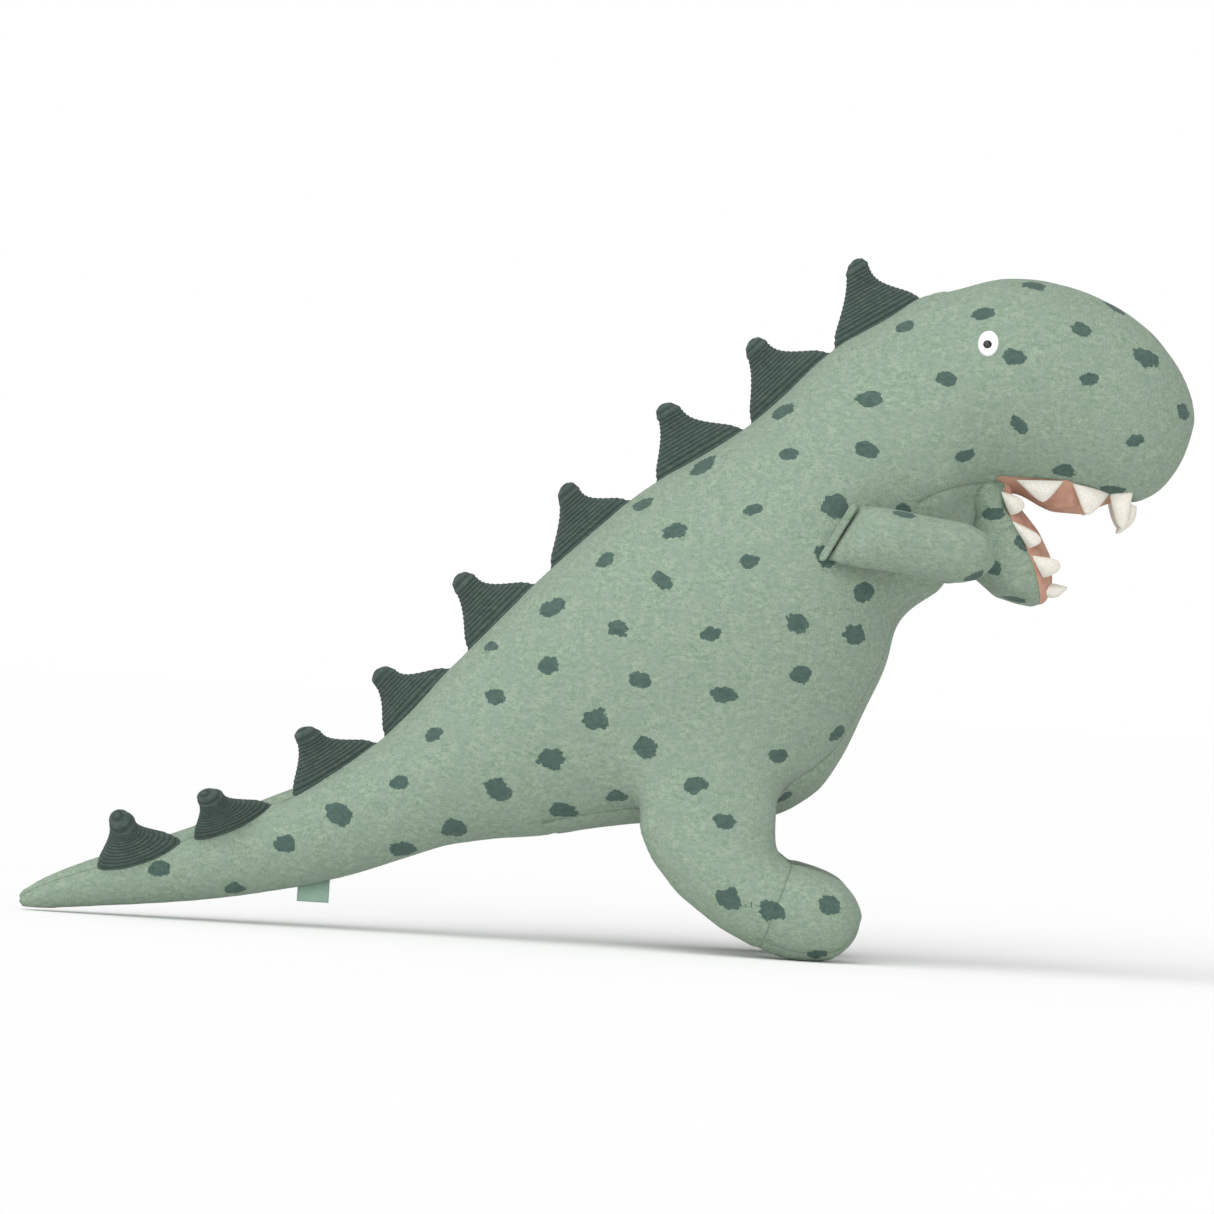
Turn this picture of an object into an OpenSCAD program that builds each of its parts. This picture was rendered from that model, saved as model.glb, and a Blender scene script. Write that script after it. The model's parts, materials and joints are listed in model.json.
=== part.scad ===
// Stuffed dinosaur: knitted cover panels over fibre stuffing, felt teeth, ridged knit back spikes.
// +X points to the snout, +Z is up, the origin is on the floor under the middle of the length.
// Lengths are in millimetres and angles in degrees.

/* [Cover] */
// Thickness of the knitted cover fabric
fabric_t = 2; // [1:0.5:3]
// Gap between the cover and the stuffing under it
lining_gap = 0.1; // [0.05:0.05:0.3]
// Radius of the round recess in which each leg turns
hip_r = 46.5; // [46:0.5:48]
// Distance from the middle plane to the inner face of the hip recess
hip_y = 33; // [30:1:34]

/* [Joints] */
// Gap between two body segments at a joint
joint_gap = 0.8; // [0.4:0.1:1.2]
// Slope of the end faces at the middle of the tail, in degrees
tail_slope = 9; // [5:1:12]
// Slope of the end faces near the tail's tip, in degrees
tip_slope = 12; // [5:1:14]
// Slope of the end faces at the neck, in degrees
neck_slope = 5.5; // [4:0.5:6]

/* [Spikes] */
// Half thickness of a spike at its base
spike_base_w = 9; // [6:0.5:11]
// Radius of a spike's rounded tip
spike_tip_r = 7; // [5:0.5:8]

/* [Teeth] */
// Thickness of a felt tooth at its base
tooth_t = 8; // [5:0.5:10]
// How far a tooth's base stands off the lip
tooth_lift = 1.6; // [1.4:0.1:2]

/* [Eyes] */
// Width of the white of an eye
eye_w = 12; // [8:1:14]
// Height of the white of an eye
eye_h = 16; // [10:1:18]
// Diameter of the pupil
pupil_d = 5.5; // [3:0.5:7]

/* [Label] */
// Width of the ribbon loop under the tail
label_w = 19; // [12:1:24]
// How far the ribbon loop hangs below the seam
label_drop = 9; // [6:1:12]

/* [Hidden] */
// Body line from the tail's tip to the snout: [x, z, half height, lean back, half width, roll]
BODY = [
    [-343.5, 6, 4, 3, 4, 50], [-328, 11, 10, 3, 9, 52], [-299, 19, 15, 5, 14, 52], [-243, 33, 23, 5, 21, 45],
    [-186, 51, 29, 4, 29, 30], [-152, 65, 33, 15, 30, 10], [-111, 84, 37, 37, 35, 0], [-59, 114, 59, 32, 47, 0],
    [-6, 146, 80, 28, 60, 0], [50, 174, 104, 22, 70, 0], [88, 197, 106, 25, 72, 0], [115, 232, 92, 26, 70, 0],
    [134, 260, 87, 23, 66, 0], [150, 286, 86, 14, 61, 0], [188, 314, 88, 2, 57, 0], [199, 328, 77, 2, 56, 0],
    [207, 343, 66, 1, 55, 0], [224, 350, 64, 2, 54, 0], [250, 350, 65, 5, 53, 0], [278, 347, 63, 6, 49, 0],
    [302, 341, 59, 6, 43, 0], [320, 339, 48, 6, 35, 0], [335, 339, 28, 6, 21, 0], [343, 340, 8, 6, 6, 0]
];
// Where the body line is divided: tail tip, tail, torso, head, mouth corner, snout
T_TIP = 4;
T_TAIL = 7;
T_NECK = 14;
T_MOUTH = 17;
T_END = 23;
// Leg from the hip to the toe: [x, z, half length, direction of its front, y, half width]
LEG = [
    [64, 157, 8, 0, 50, 6], [64, 150, 25, 0, 50, 11], [64, 133, 40, 0, 50, 15], [64, 112, 45.5, 0, 50.5, 16.5],
    [66, 90, 41, -2, 50.5, 16.5], [66, 73, 41, 3, 50, 20], [70, 61, 37, 11, 50, 23], [79, 49, 32, 26, 50, 25],
    [94, 38, 28, 51, 50, 26], [109, 31, 27.5, 72, 50, 27], [128, 26.5, 28, 79, 50, 27], [146, 24.5, 24, 85, 50, 23],
    [156, 25, 14, 88, 50, 14], [161, 26, 3.5, 88, 50, 3.5]
];
// Station of the seam where the toe cap starts
L_TOE = 9;
// Arm from the flat shoulder seam to its round end, in the same form as the leg
ARM = [
    [135, 255, 18, 78, 69.8, 1.2], [143, 254, 18, 84, 77, 8.5], [152, 253, 18.5, 84, 79, 13], [166, 252, 18.5, 84, 78, 16],
    [188, 249, 18.5, 84, 74, 17], [207, 247, 18, 84, 71, 17], [218, 246, 14, 84, 70, 13.5], [224, 245.5, 7, 84, 70, 7],
    [226, 245, 2.8, 84, 70, 2.8]
];
// Lower jaw from the mouth corner to the chin, in the same form as the leg
JAW = [
    [219, 281, 6, 25, 0, 20], [226.5, 271, 17, 20, 0, 27], [232.5, 255.5, 23, 21, 0, 29], [239.5, 241, 24, 19, 0, 28],
    [247, 228.5, 18, 18, 0, 24], [252.5, 222, 10, 15, 0, 15], [256, 219, 3.5, 15, 0, 4.5]
];
// Spikes from the tail to the neck: [start, end on the body line, tip x, tip y, tip z]
SPIKES = [
    [2.02, 2.94, -283, -30, 57], [3.05, 3.84, -231, -38, 75], [4.12, 5.95, -176, -16, 115], [6.06, 6.92, -133, 0, 153],
    [7.1, 7.97, -88, 0, 212], [8.06, 8.96, -29, 0, 269], [9.25, 10.95, 28, 0, 321], [11.08, 12.84, 79, 0, 363],
    [12.92, 13.55, 136, 0, 413]
];
// Upper side teeth: [start, end on the body line, tip x, tip y, tip z]
UPPER_TEETH = [[17.55, 18.6, 254, 27, 281], [18.75, 19.6, 281, 23, 275], [19.65, 20.3, 300, 18, 271]];
// Lower side teeth: [start, end on the jaw line, tip x, tip y, tip z]
LOWER_TEETH = [[0.55, 1.35, 244, 26, 280], [1.75, 2.5, 255, 26, 261], [3.0, 3.75, 267, 23, 245]];
// Front teeth: [base x, y, z], [tip x, y, z]
UPPER_FRONT = [[311, 8, 279], [304, 8, 265]];
LOWER_FRONT = [[263, 6, 231], [273, 5, 231]];
HIP = [64, 0, 112];
HIP_DEPTH = 60;
EYE_T = 16.55;
EYE_ANGLE = 23;
// Ribbon loop: its station, its angle round the body, outer and inner radius of its fold, gap under the seam
LABEL_T = 4.4;
LABEL_ANGLE = 250;
LABEL_R = 2;
LABEL_HOLE_R = 1.2;
LABEL_GAP = 2.2;
// Seam allowance behind the left arm: centre, tilt, half length, radius of its edge, thickness
ALLOWANCE = [129.5, 68.6, 255];
ALLOWANCE_TILT = 12;
ALLOWANCE_HALF = 15;
ALLOWANCE_R = 3;
ALLOWANCE_T = 6;
// Points round a body ring, a leg ring and an arm ring
RIB = 24;
LIMB_RIB = 20;
ARM_RIB = 16;
// Angles round a ring where the right side meets the gusset, and the gusset the left side
GUSSET = [240, 300];
// Angles round a foot ring that the sole spans, and round a jaw ring that the lining spans
SOLE = [234, 306];
MOUTH = [30, 150];
// Angles of the left lips, where the side teeth stand
UPPER_LIP = 304;
LOWER_LIP = 28;
FRONT_TOOTH_HALF = 4.5;
// Rings of a tooth: [share of the way to the tip, share of the width, share of the thickness]
TOOTH_RINGS = [[0, 1, 1], [0.45, 0.72, 0.8], [0.85, 0.34, 0.42], [1, 0.12, 0.15]];
TOOTH_RIB = 10;
// Rings of a spike as shares of the way to its tip; above SPIKE_TOP they close over the tip's centre
SPIKE_RINGS = [0.2, 0.4, 0.6, 0.78, 0.92, 1.04, 1.12];
SPIKE_TOP = 0.95;
ROUND_START = 0.85;
ROUND_LENGTH = 0.29;
SPIKE_RIB = 16;
// How far a spike's back and front edges curve in, and how far its base stands off the skin
BACK_WAIST = 3;
FRONT_WAIST = 6;
SPIKE_CLEAR = 0.7;
// Thickness of an arm's cover
ARM_COVER_T = 1;
DARK = [0.27, 0.36, 0.34];
SAGE = [0.58, 0.69, 0.60];
SAGE_2 = [0.52, 0.63, 0.55];
FIBRE = [0.93, 0.92, 0.88];
FELT = [0.95, 0.93, 0.89];
LINING = [0.78, 0.56, 0.47];
MINT = [0.62, 0.76, 0.68];

// ---- Lofts: a frame is [centre, up, side, half along up, half along side] ----

// Smooth curve through a table's rows
function between(a, b, c, d, f) =
    0.5 * (2 * b + (c - a) * f + (2 * a - 5 * b + 4 * c - d) * f * f + (3 * b - a - 3 * c + d) * f * f * f);
function row_at(table, t) =
    let(last = len(table) - 1, i = min(floor(t), last - 1))
    between(table[max(i - 1, 0)], table[i], table[i + 1], table[min(i + 2, last)], t - i);

function body_frame(t) =
    let(r = row_at(BODY, t), up = [-sin(r[3]), 0, cos(r[3])], side = [0, 1, 0])
    [[r[0], 0, r[1]], up * cos(r[5]) - side * sin(r[5]), side * cos(r[5]) + up * sin(r[5]), r[2], r[4]];
function limb_frame(table, t) =
    let(r = row_at(table, t))
    [[r[0], r[4], r[1]], [cos(r[3]), 0, sin(r[3])], [0, 1, 0], r[2], r[5]];

// How far an end face steps back from its joint, at a point of a frame
function fold(frame, a, inset, axis, slope) =
    let(u = (frame[3] - inset) * sin(a), s = (frame[4] - inset) * cos(a),
        arm = axis == "nod" ? abs(u) : abs(u * frame[1][1] + s * frame[2][1]))
    slope == 0 ? 0 : joint_gap / 2 + arm * tan(slope);
function on_frame(frame, a, inset) =
    frame[0] + frame[1] * (frame[3] - inset) * sin(a) + frame[2] * (frame[4] - inset) * cos(a);

// Rings of points; ends holds the joint's [axis, slope] at the start and at the end
function rings(frames, angles, inset, ends) =
    let(last = len(frames) - 1)
    [for (i = [0 : last]) let(f = frames[i], n = cross(f[2], f[1])) [for (a = angles)
        on_frame(f, a, inset)
            + (i == 0 ? n * fold(f, a, inset, ends[0][0], ends[0][1]) : [0, 0, 0])
            - (i == last ? n * fold(f, a, inset, ends[1][0], ends[1][1]) : [0, 0, 0])]];
function flat(lists) = [for (list = lists) for (item = list) item];
function span(a0, a1, steps) = [for (i = [0 : steps]) a0 + (a1 - a0) * i / steps];
function steps_from(t0, t1, per) = span(t0, t1, round((t1 - t0) * per));
function whole(count) = [for (i = [0 : count - 1]) i * 360 / count];

// The two flat halves of an end face meet on the fold line between points k and k + count / 2
function cap(base, count, k, turn) =
    let(h = count / 2, a = [for (i = [0 : h]) base + (k + i) % count], b = [for (i = [h : count]) base + (k + i) % count])
    turn ? [[for (i = [h : -1 : 0]) a[i]], [for (i = [h : -1 : 0]) b[i]]] : [a, b];

// Closed solid through rings; k is the fold point of the first and last ring
module solid_loft(frames, count, inset, ends, k) {
    grid = rings(frames, whole(count), inset, ends);
    rows = len(frames);
    walls = [for (i = [0 : rows - 2], j = [0 : count - 1])
        let(p = i * count + j, q = i * count + (j + 1) % count)
        each [[p, q + count, q], [p, p + count, q + count]]];
    polyhedron(flat(grid), concat(cap(0, count, k[0], false), walls, cap((rows - 1) * count, count, k[1], true)), 4);
}

// One piece of cover: from outset to inset of the frames, between two angles, or a tube when they are 360 apart
module cover(frames, a0, a1, steps, outset, inset, ends) {
    tube = a1 - a0 == 360;
    angles = [for (j = [0 : tube ? steps - 1 : steps]) a0 + (a1 - a0) * j / steps];
    w = len(angles);
    rows = len(frames);
    total = rows * w;
    points = concat(flat(rings(frames, angles, outset, ends)), flat(rings(frames, angles, inset, ends)));
    skin = [for (i = [0 : rows - 2], j = [0 : steps - 1])
        let(p = i * w + j, q = i * w + (j + 1) % w)
        each [[p, q + w, q], [p, p + w, q + w],
            [p + total, q + total, q + w + total], [p + total, q + w + total, p + w + total]]];
    rims = [for (j = [0 : steps - 1])
        let(p = j, q = (j + 1) % w, r = (rows - 1) * w)
        each [[p + total, p, q, q + total], [r + p + total, r + q + total, r + q, r + p]]];
    sides = tube ? [] : [for (i = [0 : rows - 2])
        let(p = i * w, q = i * w + w - 1)
        each [[p + total, p + w + total, p + w], [p + total, p + w, p],
            [q + total, q + w, q + w + total], [q + total, q, q + w]]];
    polyhedron(points, concat(skin, rims, sides), 4);
}

// ---- Body segments ----

NO_END = ["none", 0];
END_TIP = ["turn", tip_slope];
END_TAIL = ["turn", tail_slope];
END_NECK = ["nod", neck_slope];
FRAMES_TIP = [for (t = steps_from(0, T_TIP, 2)) body_frame(t)];
FRAMES_TAIL = [for (t = steps_from(T_TIP, T_TAIL, 2)) body_frame(t)];
FRAMES_TORSO = [for (t = steps_from(T_TAIL, T_NECK, 2)) body_frame(t)];
FRAMES_HEAD = [for (t = steps_from(T_NECK, T_END, 1)) body_frame(t)];
FRAMES_THROAT = [for (t = steps_from(T_NECK, T_MOUTH, 1)) body_frame(t)];
FRAMES_PALATE = [for (t = steps_from(T_MOUTH, T_END - 1, 1)) body_frame(t)];
// Inset of the stuffing, and the first point of the fold line for each kind of end face
FILL = fabric_t + lining_gap;
TURN_FOLD = 6;
ROLLED_FOLD = 4;
NOD_FOLD = 0;

module hip_recess() {
    translate([HIP[0], hip_y, HIP[2]]) rotate([-90, 0, 0]) cylinder(r = hip_r, h = HIP_DEPTH, $fn = 96);
}

module right() {
    mirror([0, 1, 0]) children();
}

module right_side_panel() color(SAGE) difference() {
    cover(FRAMES_TORSO, 90, GUSSET[0], 10, 0, fabric_t, [END_TAIL, END_NECK]);
    right() hip_recess();
}
module left_side_panel() color(SAGE) difference() {
    cover(FRAMES_TORSO, GUSSET[1] - 360, 90, 10, 0, fabric_t, [END_TAIL, END_NECK]);
    hip_recess();
}
module belly_gusset() color(SAGE_2) difference() {
    cover(FRAMES_TORSO, GUSSET[0], GUSSET[1], 4, 0, fabric_t, [END_TAIL, END_NECK]);
    hip_recess();
    right() hip_recess();
}
module torso_stuffing() color(FIBRE) difference() {
    solid_loft(FRAMES_TORSO, RIB, FILL, [END_TAIL, END_NECK], [TURN_FOLD, NOD_FOLD]);
    hip_recess();
    right() hip_recess();
}
module tail_right_panel() color(SAGE) cover(FRAMES_TAIL, 90, 270, 12, 0, fabric_t, [END_TIP, END_TAIL]);
module tail_left_panel() color(SAGE_2) cover(FRAMES_TAIL, -90, 90, 12, 0, fabric_t, [END_TIP, END_TAIL]);
module tail_stuffing() color(FIBRE)
    solid_loft(FRAMES_TAIL, RIB, FILL, [END_TIP, END_TAIL], [ROLLED_FOLD, TURN_FOLD]);
module tip_right_panel() color(SAGE) cover(FRAMES_TIP, 90, 270, 12, 0, fabric_t, [NO_END, END_TIP]);
module tip_left_panel() color(SAGE_2) cover(FRAMES_TIP, -90, 90, 12, 0, fabric_t, [NO_END, END_TIP]);
module tip_stuffing() color(FIBRE)
    solid_loft(FRAMES_TIP, RIB, FILL, [NO_END, END_TIP], [TURN_FOLD, ROLLED_FOLD]);
module head_right_panel() color(SAGE) cover(FRAMES_HEAD, 90, GUSSET[0], 10, 0, fabric_t, [END_NECK, NO_END]);
module head_left_panel() color(SAGE) cover(FRAMES_HEAD, GUSSET[1] - 360, 90, 10, 0, fabric_t, [END_NECK, NO_END]);
module throat_gusset() color(SAGE_2) cover(FRAMES_THROAT, GUSSET[0], GUSSET[1], 4, 0, fabric_t, [END_NECK, NO_END]);
module palate_lining() color(LINING) cover(FRAMES_PALATE, GUSSET[0], GUSSET[1], 4, 0, fabric_t, [NO_END, NO_END]);
module head_stuffing() color(FIBRE)
    solid_loft(FRAMES_HEAD, RIB, FILL, [END_NECK, NO_END], [NOD_FOLD, NOD_FOLD]);

// ---- Label, eyes and arm seams ----

module label_loop() color(MINT)
    let(bottom = on_frame(body_frame(LABEL_T), LABEL_ANGLE, 0), fold_z = LABEL_R - label_drop)
    translate([bottom[0] - label_w / 2, bottom[1], bottom[2] - LABEL_GAP]) rotate([90, 0, 90])
    linear_extrude(label_w) difference() {
        union() {
            translate([-LABEL_R, fold_z]) square([2 * LABEL_R, -fold_z]);
            translate([0, fold_z]) circle(r = LABEL_R, $fn = 32);
        }
        translate([-LABEL_HOLE_R, fold_z]) square([2 * LABEL_HOLE_R, -fold_z - 1]);
        translate([0, fold_z]) circle(r = LABEL_HOLE_R, $fn = 32);
    }

// Places its children on the left side of the head, facing out
module at_eye(lift) {
    f = body_frame(EYE_T);
    p = on_frame(f, EYE_ANGLE, 0);
    tilt = atan2(sin(EYE_ANGLE) / f[3], cos(EYE_ANGLE) / f[4]);
    translate(p + [0, cos(tilt), sin(tilt)] * lift) rotate([tilt - 90, 0, 0]) children();
}
module eye_dome(w, h, thick) intersection() {
    scale([w / 2, h / 2, thick]) sphere(r = 1, $fn = 64);
    translate([-w, -h, 0]) cube([2 * w, 2 * h, 2 * thick]);
}
module left_eye() color("white") at_eye(0.5) eye_dome(eye_w, eye_h, 2);
module right_eye() right() left_eye();
module left_pupil() color([0.1, 0.1, 0.12]) at_eye(2.55) eye_dome(pupil_d, pupil_d, 0.8);
module right_pupil() right() left_pupil();

// Flat seam allowance along the shoulder, behind the arm
module left_arm_seam() color(MINT)
    translate(ALLOWANCE) rotate([0, ALLOWANCE_TILT, 0]) hull() for (z = [-ALLOWANCE_HALF, ALLOWANCE_HALF])
        translate([0, 0, z]) rotate([-90, 0, 0]) cylinder(r = ALLOWANCE_R, h = ALLOWANCE_T, $fn = 24);
module right_arm_seam() right() left_arm_seam();

// ---- Arms, legs and jaw ----

FRAMES_ARM = [for (t = [0 : len(ARM) - 1]) limb_frame(ARM, t)];
FRAMES_LEG = [for (t = [0 : len(LEG) - 1]) limb_frame(LEG, t)];
FRAMES_JAW = [for (t = [0 : len(JAW) - 1]) limb_frame(JAW, t)];
FRAMES_SHANK = [for (t = [0 : L_TOE]) FRAMES_LEG[t]];
FRAMES_FOOT = [for (t = [L_TOE : len(LEG) - 1]) FRAMES_LEG[t]];
FRAMES_ARM_FILL = [for (t = [1 : len(ARM) - 1]) FRAMES_ARM[t]];
OPEN = [NO_END, NO_END];

module left_arm_cover() color(SAGE) cover(FRAMES_ARM, 0, 360, ARM_RIB, 0, ARM_COVER_T, OPEN);
module right_arm_cover() right() left_arm_cover();
module left_arm_stuffing() color(FIBRE)
    solid_loft(FRAMES_ARM_FILL, ARM_RIB, ARM_COVER_T + lining_gap, OPEN, [0, 0]);
module right_arm_stuffing() right() left_arm_stuffing();
module left_leg_outer() color(SAGE) cover(FRAMES_SHANK, -90, 90, 10, 0, fabric_t, OPEN);
module right_leg_outer() right() left_leg_outer();
module left_leg_inner() color(SAGE_2) cover(FRAMES_SHANK, 90, 270, 10, 0, fabric_t, OPEN);
module right_leg_inner() right() left_leg_inner();
module left_toe_cap() color(SAGE) cover(FRAMES_FOOT, SOLE[1] - 360, SOLE[0], 16, 0, fabric_t, OPEN);
module right_toe_cap() right() left_toe_cap();
module left_sole() color(SAGE_2) difference() {
    cover(FRAMES_FOOT, SOLE[0], SOLE[1], 4, 0, fabric_t, OPEN);
    translate([0, 0, -20]) cube([200, 100, 20]);
}
module right_sole() right() left_sole();
module left_leg_stuffing() color(FIBRE) solid_loft(FRAMES_LEG, LIMB_RIB, FILL, OPEN, [5, 5]);
module right_leg_stuffing() right() left_leg_stuffing();
module jaw_cover() color(SAGE) cover(FRAMES_JAW, MOUTH[1], MOUTH[0] + 360, 16, 0, fabric_t, OPEN);
module jaw_lining() color(LINING) cover(FRAMES_JAW, MOUTH[0], MOUTH[1], 8, 0, fabric_t, OPEN);
module jaw_stuffing() color(FIBRE) solid_loft(FRAMES_JAW, RIB, FILL, OPEN, [0, 0]);

// ---- Spikes and teeth ----

// Point of the faceted body surface at t, some way to one side of the top seam
function top_point(t, w) =
    let(t0 = floor(2 * t) / 2, f = (t - t0) * 2, g0 = body_frame(t0), g1 = body_frame(t0 + 0.5),
        step = (w < 0 ? 1 : -1) * 360 / RIB,
        top = on_frame(g0, 90, 0) * (1 - f) + on_frame(g1, 90, 0) * f,
        next = on_frame(g0, 90 + step, 0) * (1 - f) + on_frame(g1, 90 + step, 0) * f)
    top + (next - top) * abs(w) / norm(next - top) + body_frame(t)[1] * SPIKE_CLEAR;

// Round stack of rings between a saddle base and a rounded tip
module spike(row) {
    count = SPIKE_RIB;
    half = count / 2;
    tip = [row[2], row[3], row[4]];
    back = top_point(row[0], 0);
    front = top_point(row[1], 0);
    along = (front - back) / norm(front - back);
    mid = body_frame((row[0] + row[1]) / 2);
    side = mid[2];
    base = [for (j = [0 : count - 1])
        let(a = j * 360 / count, f = (1 - cos(a)) / 2)
        top_point(row[0] + (row[1] - row[0]) * f, -spike_base_w * sin(a))];
    ridge = [for (j = [1 : half - 1])
        let(f = (1 - cos(j * 180 / half)) / 2)
        top_point(row[0] + (row[1] - row[0]) * f, 0)];
    upper = [for (f = SPIKE_RINGS)
        let(g = min(f, SPIKE_TOP), r = spike_tip_r * sqrt(max(1 - pow((f - ROUND_START) / ROUND_LENGTH, 2), 0.02)),
            a = back * (1 - g) + (tip - along * spike_tip_r) * g + along * BACK_WAIST * sin(180 * g),
            b = front * (1 - g) + (tip + along * spike_tip_r) * g - along * FRONT_WAIST * sin(180 * g),
            c = (a + b) / 2 + (tip - (front + back) / 2) * max(f - g, 0),
            h = f > SPIKE_TOP ? r : norm(b - a) / 2,
            w = f > SPIKE_TOP ? r : spike_base_w + (spike_tip_r - spike_base_w) * g)
        [for (j = [0 : count - 1]) let(q = j * 360 / count) c - along * h * cos(q) - side * w * sin(q)]];
    walls = [for (i = [0 : len(SPIKE_RINGS) - 1], j = [0 : count - 1])
        let(p = i * count + j, q = i * count + (j + 1) % count)
        each [[p, q + count, q], [p, p + count, q + count]]];
    first = count * (len(SPIKE_RINGS) + 1);
    saddle = [for (j = [0 : half - 1])
        let(l1 = j + 1, r0 = (count - j) % count, r1 = count - l1,
            m0 = j == 0 ? 0 : first + j - 1, m1 = j == half - 1 ? half : first + j)
        each concat(j == 0 ? [] : [[j, l1, m0], [r0, m0, r1]],
            j == half - 1 ? [] : [[l1, m1, m0], [r1, m0, m1]])];
    top = [for (j = [count - 1 : -1 : 0]) count * len(SPIKE_RINGS) + j];
    polyhedron(concat(base, flat(upper), ridge), concat(walls, saddle, [top]), 4);
}

// Felt tooth: a flattened cone from a base line to a tip
module tooth(a, b, out, tip) {
    count = TOOTH_RIB;
    last = len(TOOTH_RINGS) - 1;
    along = (b - a) / norm(b - a);
    side = cross(out, along) / norm(cross(out, along));
    start = (a + b) / 2 + out * tooth_lift;
    points = [for (ring = TOOTH_RINGS, j = [0 : count - 1])
        let(q = j * 360 / count)
        start * (1 - ring[0]) + tip * ring[0] + along * norm(b - a) / 2 * ring[1] * cos(q)
            + side * tooth_t / 2 * ring[2] * sin(q)];
    walls = [for (i = [0 : last - 1], j = [0 : count - 1])
        let(p = i * count + j, q = i * count + (j + 1) % count)
        each [[p, q + count, q], [p, p + count, q + count]]];
    polyhedron(points, concat([[for (j = [0 : count - 1]) j]], walls,
        [[for (j = [count - 1 : -1 : 0]) last * count + j]]), 4);
}

function outward(frame, a) =
    let(v = frame[1] * sin(a) / frame[3] + frame[2] * cos(a) / frame[4]) v / norm(v);

module upper_teeth_left() color(FELT) for (row = UPPER_TEETH)
    let(f0 = body_frame(row[0]), f1 = body_frame(row[1]), m = body_frame((row[0] + row[1]) / 2))
    tooth(on_frame(f0, UPPER_LIP, 0), on_frame(f1, UPPER_LIP, 0), outward(m, UPPER_LIP), [row[2], row[3], row[4]]);
module upper_teeth_right() right() upper_teeth_left();
module lower_teeth_left() color(FELT) for (row = LOWER_TEETH)
    let(f0 = limb_frame(JAW, row[0]), f1 = limb_frame(JAW, row[1]), m = limb_frame(JAW, (row[0] + row[1]) / 2))
    tooth(on_frame(f0, LOWER_LIP, 0), on_frame(f1, LOWER_LIP, 0), outward(m, LOWER_LIP), [row[2], row[3], row[4]]);
module lower_teeth_right() right() lower_teeth_left();
module front_pair(ends) color(FELT) for (s = [-1, 1])
    let(base = [ends[0][0], s * ends[0][1], ends[0][2]], tip = [ends[1][0], s * ends[1][1], ends[1][2]],
        out = (tip - base) / norm(tip - base), across = [0, FRONT_TOOTH_HALF, 0])
    tooth(base - across, base + across, out, tip);
module upper_teeth_front() front_pair(UPPER_FRONT);
module lower_teeth_front() front_pair(LOWER_FRONT);

module spike_1() color(DARK) spike(SPIKES[0]);
module spike_2() color(DARK) spike(SPIKES[1]);
module spike_3() color(DARK) spike(SPIKES[2]);
module spike_4() color(DARK) spike(SPIKES[3]);
module spike_5() color(DARK) spike(SPIKES[4]);
module spike_6() color(DARK) spike(SPIKES[5]);
module spike_7() color(DARK) spike(SPIKES[6]);
module spike_8() color(DARK) spike(SPIKES[7]);
module spike_9() color(DARK) spike(SPIKES[8]);

right_side_panel();
left_side_panel();
belly_gusset();
torso_stuffing();
right_arm_seam();
left_arm_seam();
tail_right_panel();
tail_left_panel();
tail_stuffing();
label_loop();
tip_right_panel();
tip_left_panel();
tip_stuffing();
spike_1();
spike_2();
spike_3();
spike_4();
spike_5();
spike_6();
spike_7();
spike_8();
spike_9();
head_right_panel();
head_left_panel();
throat_gusset();
palate_lining();
head_stuffing();
upper_teeth_right();
upper_teeth_left();
upper_teeth_front();
right_eye();
left_eye();
right_pupil();
left_pupil();
jaw_cover();
jaw_lining();
jaw_stuffing();
lower_teeth_right();
lower_teeth_left();
lower_teeth_front();
right_arm_cover();
left_arm_cover();
right_arm_stuffing();
left_arm_stuffing();
right_leg_outer();
left_leg_outer();
right_leg_inner();
left_leg_inner();
right_toe_cap();
left_toe_cap();
right_sole();
left_sole();
right_leg_stuffing();
left_leg_stuffing();
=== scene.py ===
"""Looks of a stuffed dinosaur: knitted skin, ridged spikes, felt teeth, eyes and a ribbon loop, in metres."""
import json
import math
import random

import bmesh
import bpy
import numpy as np
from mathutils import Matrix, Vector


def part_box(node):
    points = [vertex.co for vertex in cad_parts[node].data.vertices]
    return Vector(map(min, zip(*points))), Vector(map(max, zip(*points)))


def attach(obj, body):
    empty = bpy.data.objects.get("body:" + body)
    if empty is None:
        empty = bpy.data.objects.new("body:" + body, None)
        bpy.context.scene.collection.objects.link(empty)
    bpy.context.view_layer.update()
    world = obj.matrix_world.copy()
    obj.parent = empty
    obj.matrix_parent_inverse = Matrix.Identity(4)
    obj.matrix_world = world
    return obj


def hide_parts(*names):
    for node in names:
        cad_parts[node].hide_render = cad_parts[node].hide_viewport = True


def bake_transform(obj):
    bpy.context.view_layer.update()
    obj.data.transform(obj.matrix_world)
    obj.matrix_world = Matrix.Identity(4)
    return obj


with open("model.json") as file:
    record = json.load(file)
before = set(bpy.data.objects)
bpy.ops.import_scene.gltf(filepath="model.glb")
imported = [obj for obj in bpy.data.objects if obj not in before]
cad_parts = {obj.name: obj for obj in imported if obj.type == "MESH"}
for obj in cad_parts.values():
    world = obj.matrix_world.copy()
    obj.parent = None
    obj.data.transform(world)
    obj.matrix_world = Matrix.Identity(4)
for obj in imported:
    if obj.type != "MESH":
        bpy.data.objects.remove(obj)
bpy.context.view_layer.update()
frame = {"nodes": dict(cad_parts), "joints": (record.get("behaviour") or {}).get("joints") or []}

import openvdb
from mathutils import Matrix, Vector
from mathutils.bvhtree import BVHTree
from mathutils.kdtree import KDTree

MM = 0.001
SIDES = {"right": -1, "left": 1}

# ---- Groups of CAD nodes that make up one skin ----

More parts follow.
